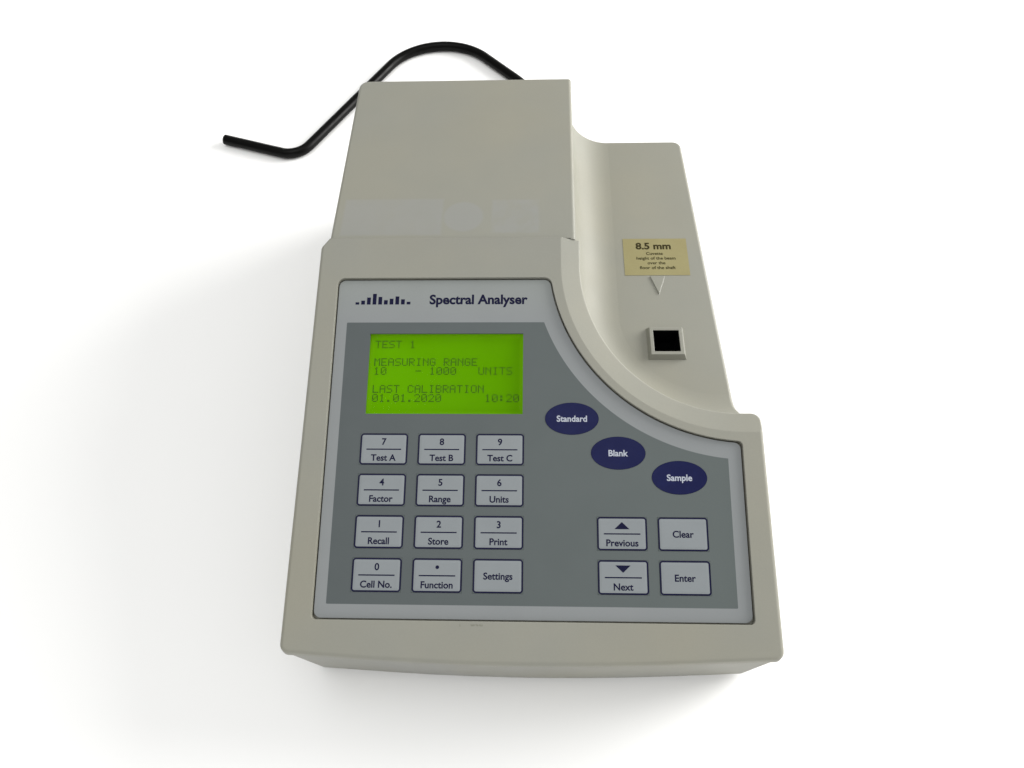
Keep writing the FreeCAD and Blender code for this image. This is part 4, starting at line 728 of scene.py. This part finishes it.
LETTERS = {
    "A": ".###. #...# #...# ##### #...# #...# #...#",
    "B": "####. #...# #...# ####. #...# #...# ####.",
    "C": ".###. #...# #.... #.... #.... #...# .###.",
    "E": "##### #.... #.... ####. #.... #.... #####",
    "G": ".###. #...# #.... #.### #...# #...# .###.",
    "I": ".###. ..#.. ..#.. ..#.. ..#.. ..#.. .###.",
    "L": "#.... #.... #.... #.... #.... #.... #####",
    "M": "#...# ##.## #.#.# #...# #...# #...# #...#",
    "N": "#...# ##..# #.#.# #..## #...# #...# #...#",
    "O": ".###. #...# #...# #...# #...# #...# .###.",
    "R": "####. #...# #...# ####. #.#.. #..#. #...#",
    "S": ".#### #.... #.... .###. ....# ....# ####.",
    "T": "##### ..#.. ..#.. ..#.. ..#.. ..#.. ..#..",
    "U": "#...# #...# #...# #...# #...# #...# .###.",
    "0": ".###. #...# #..## #.#.# ##..# #...# .###.",
    "1": "..#.. .##.. ..#.. ..#.. ..#.. ..#.. .###.",
    "2": ".###. #...# ....# ...#. ..#.. .#... #####",
    ".": "..... ..... ..... ..... ..... .##.. .##..",
    "-": "..... ..... ..... ##### ..... ..... .....",
    ":": "..... .##.. .##.. ..... .##.. .##.. .....",
    " ": "..... ..... ..... ..... ..... ..... .....",
}
SCREEN = [
    "TEST 1",
    "",
    "MEASURING RANGE",
    "10    - 1000   UNITS",
    "",
    "LAST CALIBRATION",
    "01.01.2020      10:20",
    "",
]


def draw_screen(material):
    """Each dark dot of the display as a small raised square."""
    middle, _ = middle_and_size("display_window")
    top = extent("lcd_glass")[1].z
    columns, rows = LETTER_DOTS
    wide = SCREEN_LETTERS * columns * DOT_PITCH
    tall = len(SCREEN) * rows * DOT_PITCH
    bm = bmesh.new()
    for line, words in enumerate(SCREEN):
        for place, letter in enumerate(words):
            for row, dots in enumerate(LETTERS[letter].split()):
                for column, dot in enumerate(dots):
                    if dot != "#":
                        continue
                    x = (place * columns + column + 0.5) * DOT_PITCH - wide / 2
                    y = tall / 2 - (line * rows + row + 0.5) * DOT_PITCH
                    box = bmesh.ops.create_cube(bm, size=1.0)
                    size = Matrix.Diagonal((DOT_WIDTH, DOT_WIDTH, INK, 1))
                    bmesh.ops.transform(bm, verts=box["verts"],
                                        matrix=Matrix.Translation((x, y, INK)) @ size)
    bm.transform(lay_on_panel(middle.x + 0.4 * MM, middle.y - 0.6 * MM, top))
    mesh = bpy.data.meshes.new("display_dots")
    bm.to_mesh(mesh)
    bm.free()
    mesh.materials.append(material)
    piece = bpy.data.objects.new("display_dots", mesh)
    bpy.context.scene.collection.objects.link(piece)
    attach(piece, "housing")


# ---------------------------------------------------------------- other small printing

def print_label(dark):
    low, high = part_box("beam_label")
    middle = (low + high) / 2
    lines = [(glyph_mesh("8.5 mm", 4.3 * MM, heavy=0.22 * MM), -0.9 * MM, 7.4 * MM)]
    for words, across, up in (
        ("Cuvette", -0.6 * MM, 2.2 * MM),
        ("height of the beam", 0, -1.0 * MM),
        ("over the", 0, -4.2 * MM),
        ("floor of the shaft", 0.4 * MM, -7.4 * MM),
    ):
        lines.append((glyph_mesh(words, 1.9 * MM, heavy=0.06 * MM), across, up))
    joined("label_words", lines, flat_at(middle.x, middle.y, high.z), "housing", dark)


def rocker_face(upper):
    """A frame on the middle of the mains switch's upper or lower outer face."""
    mesh = frame["nodes"]["mains_switch"].data
    low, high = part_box("mains_switch")
    middle = (low + high) / 2
    beyond_axle = middle.y + 1 * MM  # the axle's own round faces lie deeper than this
    faces = [
        face for face in mesh.polygons
        if face.normal.y > 0.9 and face.center.y > beyond_axle
        and (face.center.z > middle.z) == upper
    ]
    area = sum(face.area for face in faces)
    centre = sum((face.center * face.area for face in faces), Vector()) / area
    outward = sum((face.normal * face.area for face in faces), Vector()).normalized()
    across = Vector((-1, 0, 0))
    turn = Matrix((across, outward.cross(across), outward)).transposed()
    return Matrix.Translation(centre) @ turn.to_4x4()


def mark_switch(light):
    """A bar and a ring on the two halves of the mains switch."""
    bar = [(bar_mesh(0.7 * MM, 3.0 * MM), 0, 0)]
    ring = [(ring_mesh(1.6 * MM, 1.05 * MM), 0, 0)]
    joined("switch_on_mark", bar, rocker_face(True), "mains_switch", light)
    joined("switch_off_mark", ring, rocker_face(False), "mains_switch", light)


# ---------------------------------------------------------------- finishing the CAD's own nodes

def dress(material, *nodes):
    for node in nodes:
        item = frame["nodes"][node]
        if not item.data.materials:
            item.data.materials.append(material)
        for slot in item.material_slots:
            slot.link = "OBJECT"
            slot.material = material


def dress_all():
    dress(front_housing(), "front_cover")
    dress(collar_plastic(), "cuvette_collar")
    dress(rear_housing(), "rear_cover")
    dress(tray_housing(), "base_tray")
    dress(printed_foil(), "keypad_overlay")
    for node in KEY_WORDS:
        dress(key_print(node), node)
    dress(oval_print(), *OVAL_WORDS)
    dress(film("spacer_film", colour(205, 205, 196)), "keypad_spacer")
    dress(film("circuit_film", colour(198, 186, 150)), "keypad_circuit")
    dress(metal("dome_steel", colour(196, 196, 198), 0.3), "key_domes")
    dress(clear_window(), "display_window")
    dress(display_glass(), "lcd_glass")
    dress(film("light_guide", colour(200, 214, 150)), "lcd_backlight")
    dress(label_film(), "beam_label")
    plated = metal("plated_steel", colour(178, 180, 180), 0.35, (1.0, 1.0, 0.15))
    dress(plated, "housing_screws", "board_screws", "jack_screws", "serial_port",
          "lcd_frame", "power_transformer")
    dress(metal("rear_sheet", colour(168, 170, 170), 0.42, (0.08, 1.0, 1.0)), "rear_panel")
    dress(metal("spring_steel", colour(190, 190, 186), 0.28, (1.0, 1.0, 0.1)), "cuvette_spring")
    dress(metal("milled_aluminium", colour(190, 192, 194), 0.38, (0.1, 1.0, 1.0)),
          "optics_plate", "spectrometer_box")
    dress(metal("contact_brass", colour(196, 174, 110), 0.25), "inlet_pins")
    dress(circuit_green(), "lcd_board", "main_board", "power_board", "diode_array")
    dress(black_plastic("component_black", 0.5), "board_parts")
    dress(black_plastic("connector_black", 0.4), "mains_inlet", "switch_frame", "fuse_drawer",
          "mains_switch")
    dress(black_plastic("plug_black", 0.48, 0.025 * MM, CABLE_BLACK), "mains_plug")
    dress(black_plastic("lamp_black", 0.6), "lamp_housing")
    dress(shaft_black(), "cuvette_holder")
    dress(lens_glass(), "flash_lamp", "condenser_lens", "concave_grating")
    dress(cord_sheath(), "mains_cord")
    dress(soft_rubber(), "rubber_feet")
    dress(ribbon_stripes(), "ribbon_cables")


# ---------------------------------------------------------------- floor, light, camera

ROOM_LIGHT = 0.72
MIRRORED_LIGHT = 0.18


def lay_floor():
    """A large pale floor that curves up gently far behind the object."""
    reach, rise, steps = 3.0, 1.2, 24
    bm = bmesh.new()
    profile = [(-reach, 0.0), (reach * 0.6, 0.0)]
    for i in range(1, steps + 1):
        turn = math.pi / 2 * i / steps
        profile.append((reach * 0.6 + rise * math.sin(turn), rise * (1 - math.cos(turn))))
    left = [bm.verts.new((-reach, y, z)) for y, z in profile]
    right = [bm.verts.new((reach, y, z)) for y, z in profile]
    for i in range(len(profile) - 1):
        bm.faces.new((left[i], right[i], right[i + 1], left[i + 1]))
    mesh = bpy.data.meshes.new("floor")
    bm.to_mesh(mesh)
    bm.free()
    mesh.polygons.foreach_set("use_smooth", [True] * len(mesh.polygons))
    mesh.materials.append(floor_paint())
    floor = bpy.data.objects.new("floor", mesh)
    bpy.context.scene.collection.objects.link(floor)


def add_light(name, place, target, size, power, tint=(1, 1, 1)):
    lamp = bpy.data.lights.new(name, "AREA")
    lamp.shape = "DISK"
    lamp.size = size
    lamp.energy = power
    lamp.color = tint
    holder = bpy.data.objects.new(name, lamp)
    holder.location = place
    holder.rotation_euler = (Vector(target) - Vector(place)).to_track_quat("-Z", "Y").to_euler()
    bpy.context.scene.collection.objects.link(holder)


def light_room():
    """Even white light all round, dimmer where shiny surfaces would mirror it, and a window."""
    world = bpy.data.worlds.new("room")
    world.use_nodes = True
    tree = world.node_tree
    back = tree.nodes["Background"]
    ray = tree.nodes.new("ShaderNodeLightPath")
    share = tree.nodes.new("ShaderNodeMapRange")
    share.inputs["To Min"].default_value = ROOM_LIGHT
    share.inputs["To Max"].default_value = MIRRORED_LIGHT
    tree.links.new(ray.outputs["Is Glossy Ray"], share.inputs["Value"])
    tree.links.new(share.outputs[0], back.inputs["Strength"])
    back.inputs["Color"].default_value = (1.0, 1.0, 0.99, 1.0)
    bpy.context.scene.world = world
    add_light("window", (1.4, 0.6, 0.56), (0.0, 0.0, 0.05), 1.1, 44, (1.0, 0.99, 0.97))
    add_light("ceiling", (-0.2, -0.1, 1.9), (0.0, 0.0, 0.0), 1.6, 11)
    add_light("front_fill", (-0.1, -1.4, 0.3), (0.0, -0.1, 0.04), 1.2, 4)


def place_camera():
    """The camera stands over the front edge, turned a little, and looks steeply down."""
    lens = bpy.data.cameras.new("camera")
    lens.sensor_width = 36.0
    lens.lens = 26.72
    holder = bpy.data.objects.new("camera", lens)
    right = Vector((0.999285, 0.020691, -0.031655))
    back = Vector((0.037796, -0.518387, 0.85431))
    turn = Matrix((right, back.cross(right), back)).transposed()
    holder.matrix_world = Matrix.Translation((0.0046, -0.2075, 0.3636)) @ turn.to_4x4()
    bpy.context.scene.collection.objects.link(holder)
    bpy.context.scene.camera = holder


# ---------------------------------------------------------------- the whole scene

dark_ink = ink("dark_ink", NAVY)
light_ink = ink("light_ink", LIGHT_INK)
dress_all()
print_keys(dark_ink, light_ink)
print_heading(dark_ink)
draw_screen(ink("display_dots", DISPLAY_DOT, 0.3))
print_label(ink("label_ink", LABEL_INK))
mark_switch(light_ink)
lay_floor()
light_room()
place_camera()
bpy.context.scene.view_settings.view_transform = "Standard"
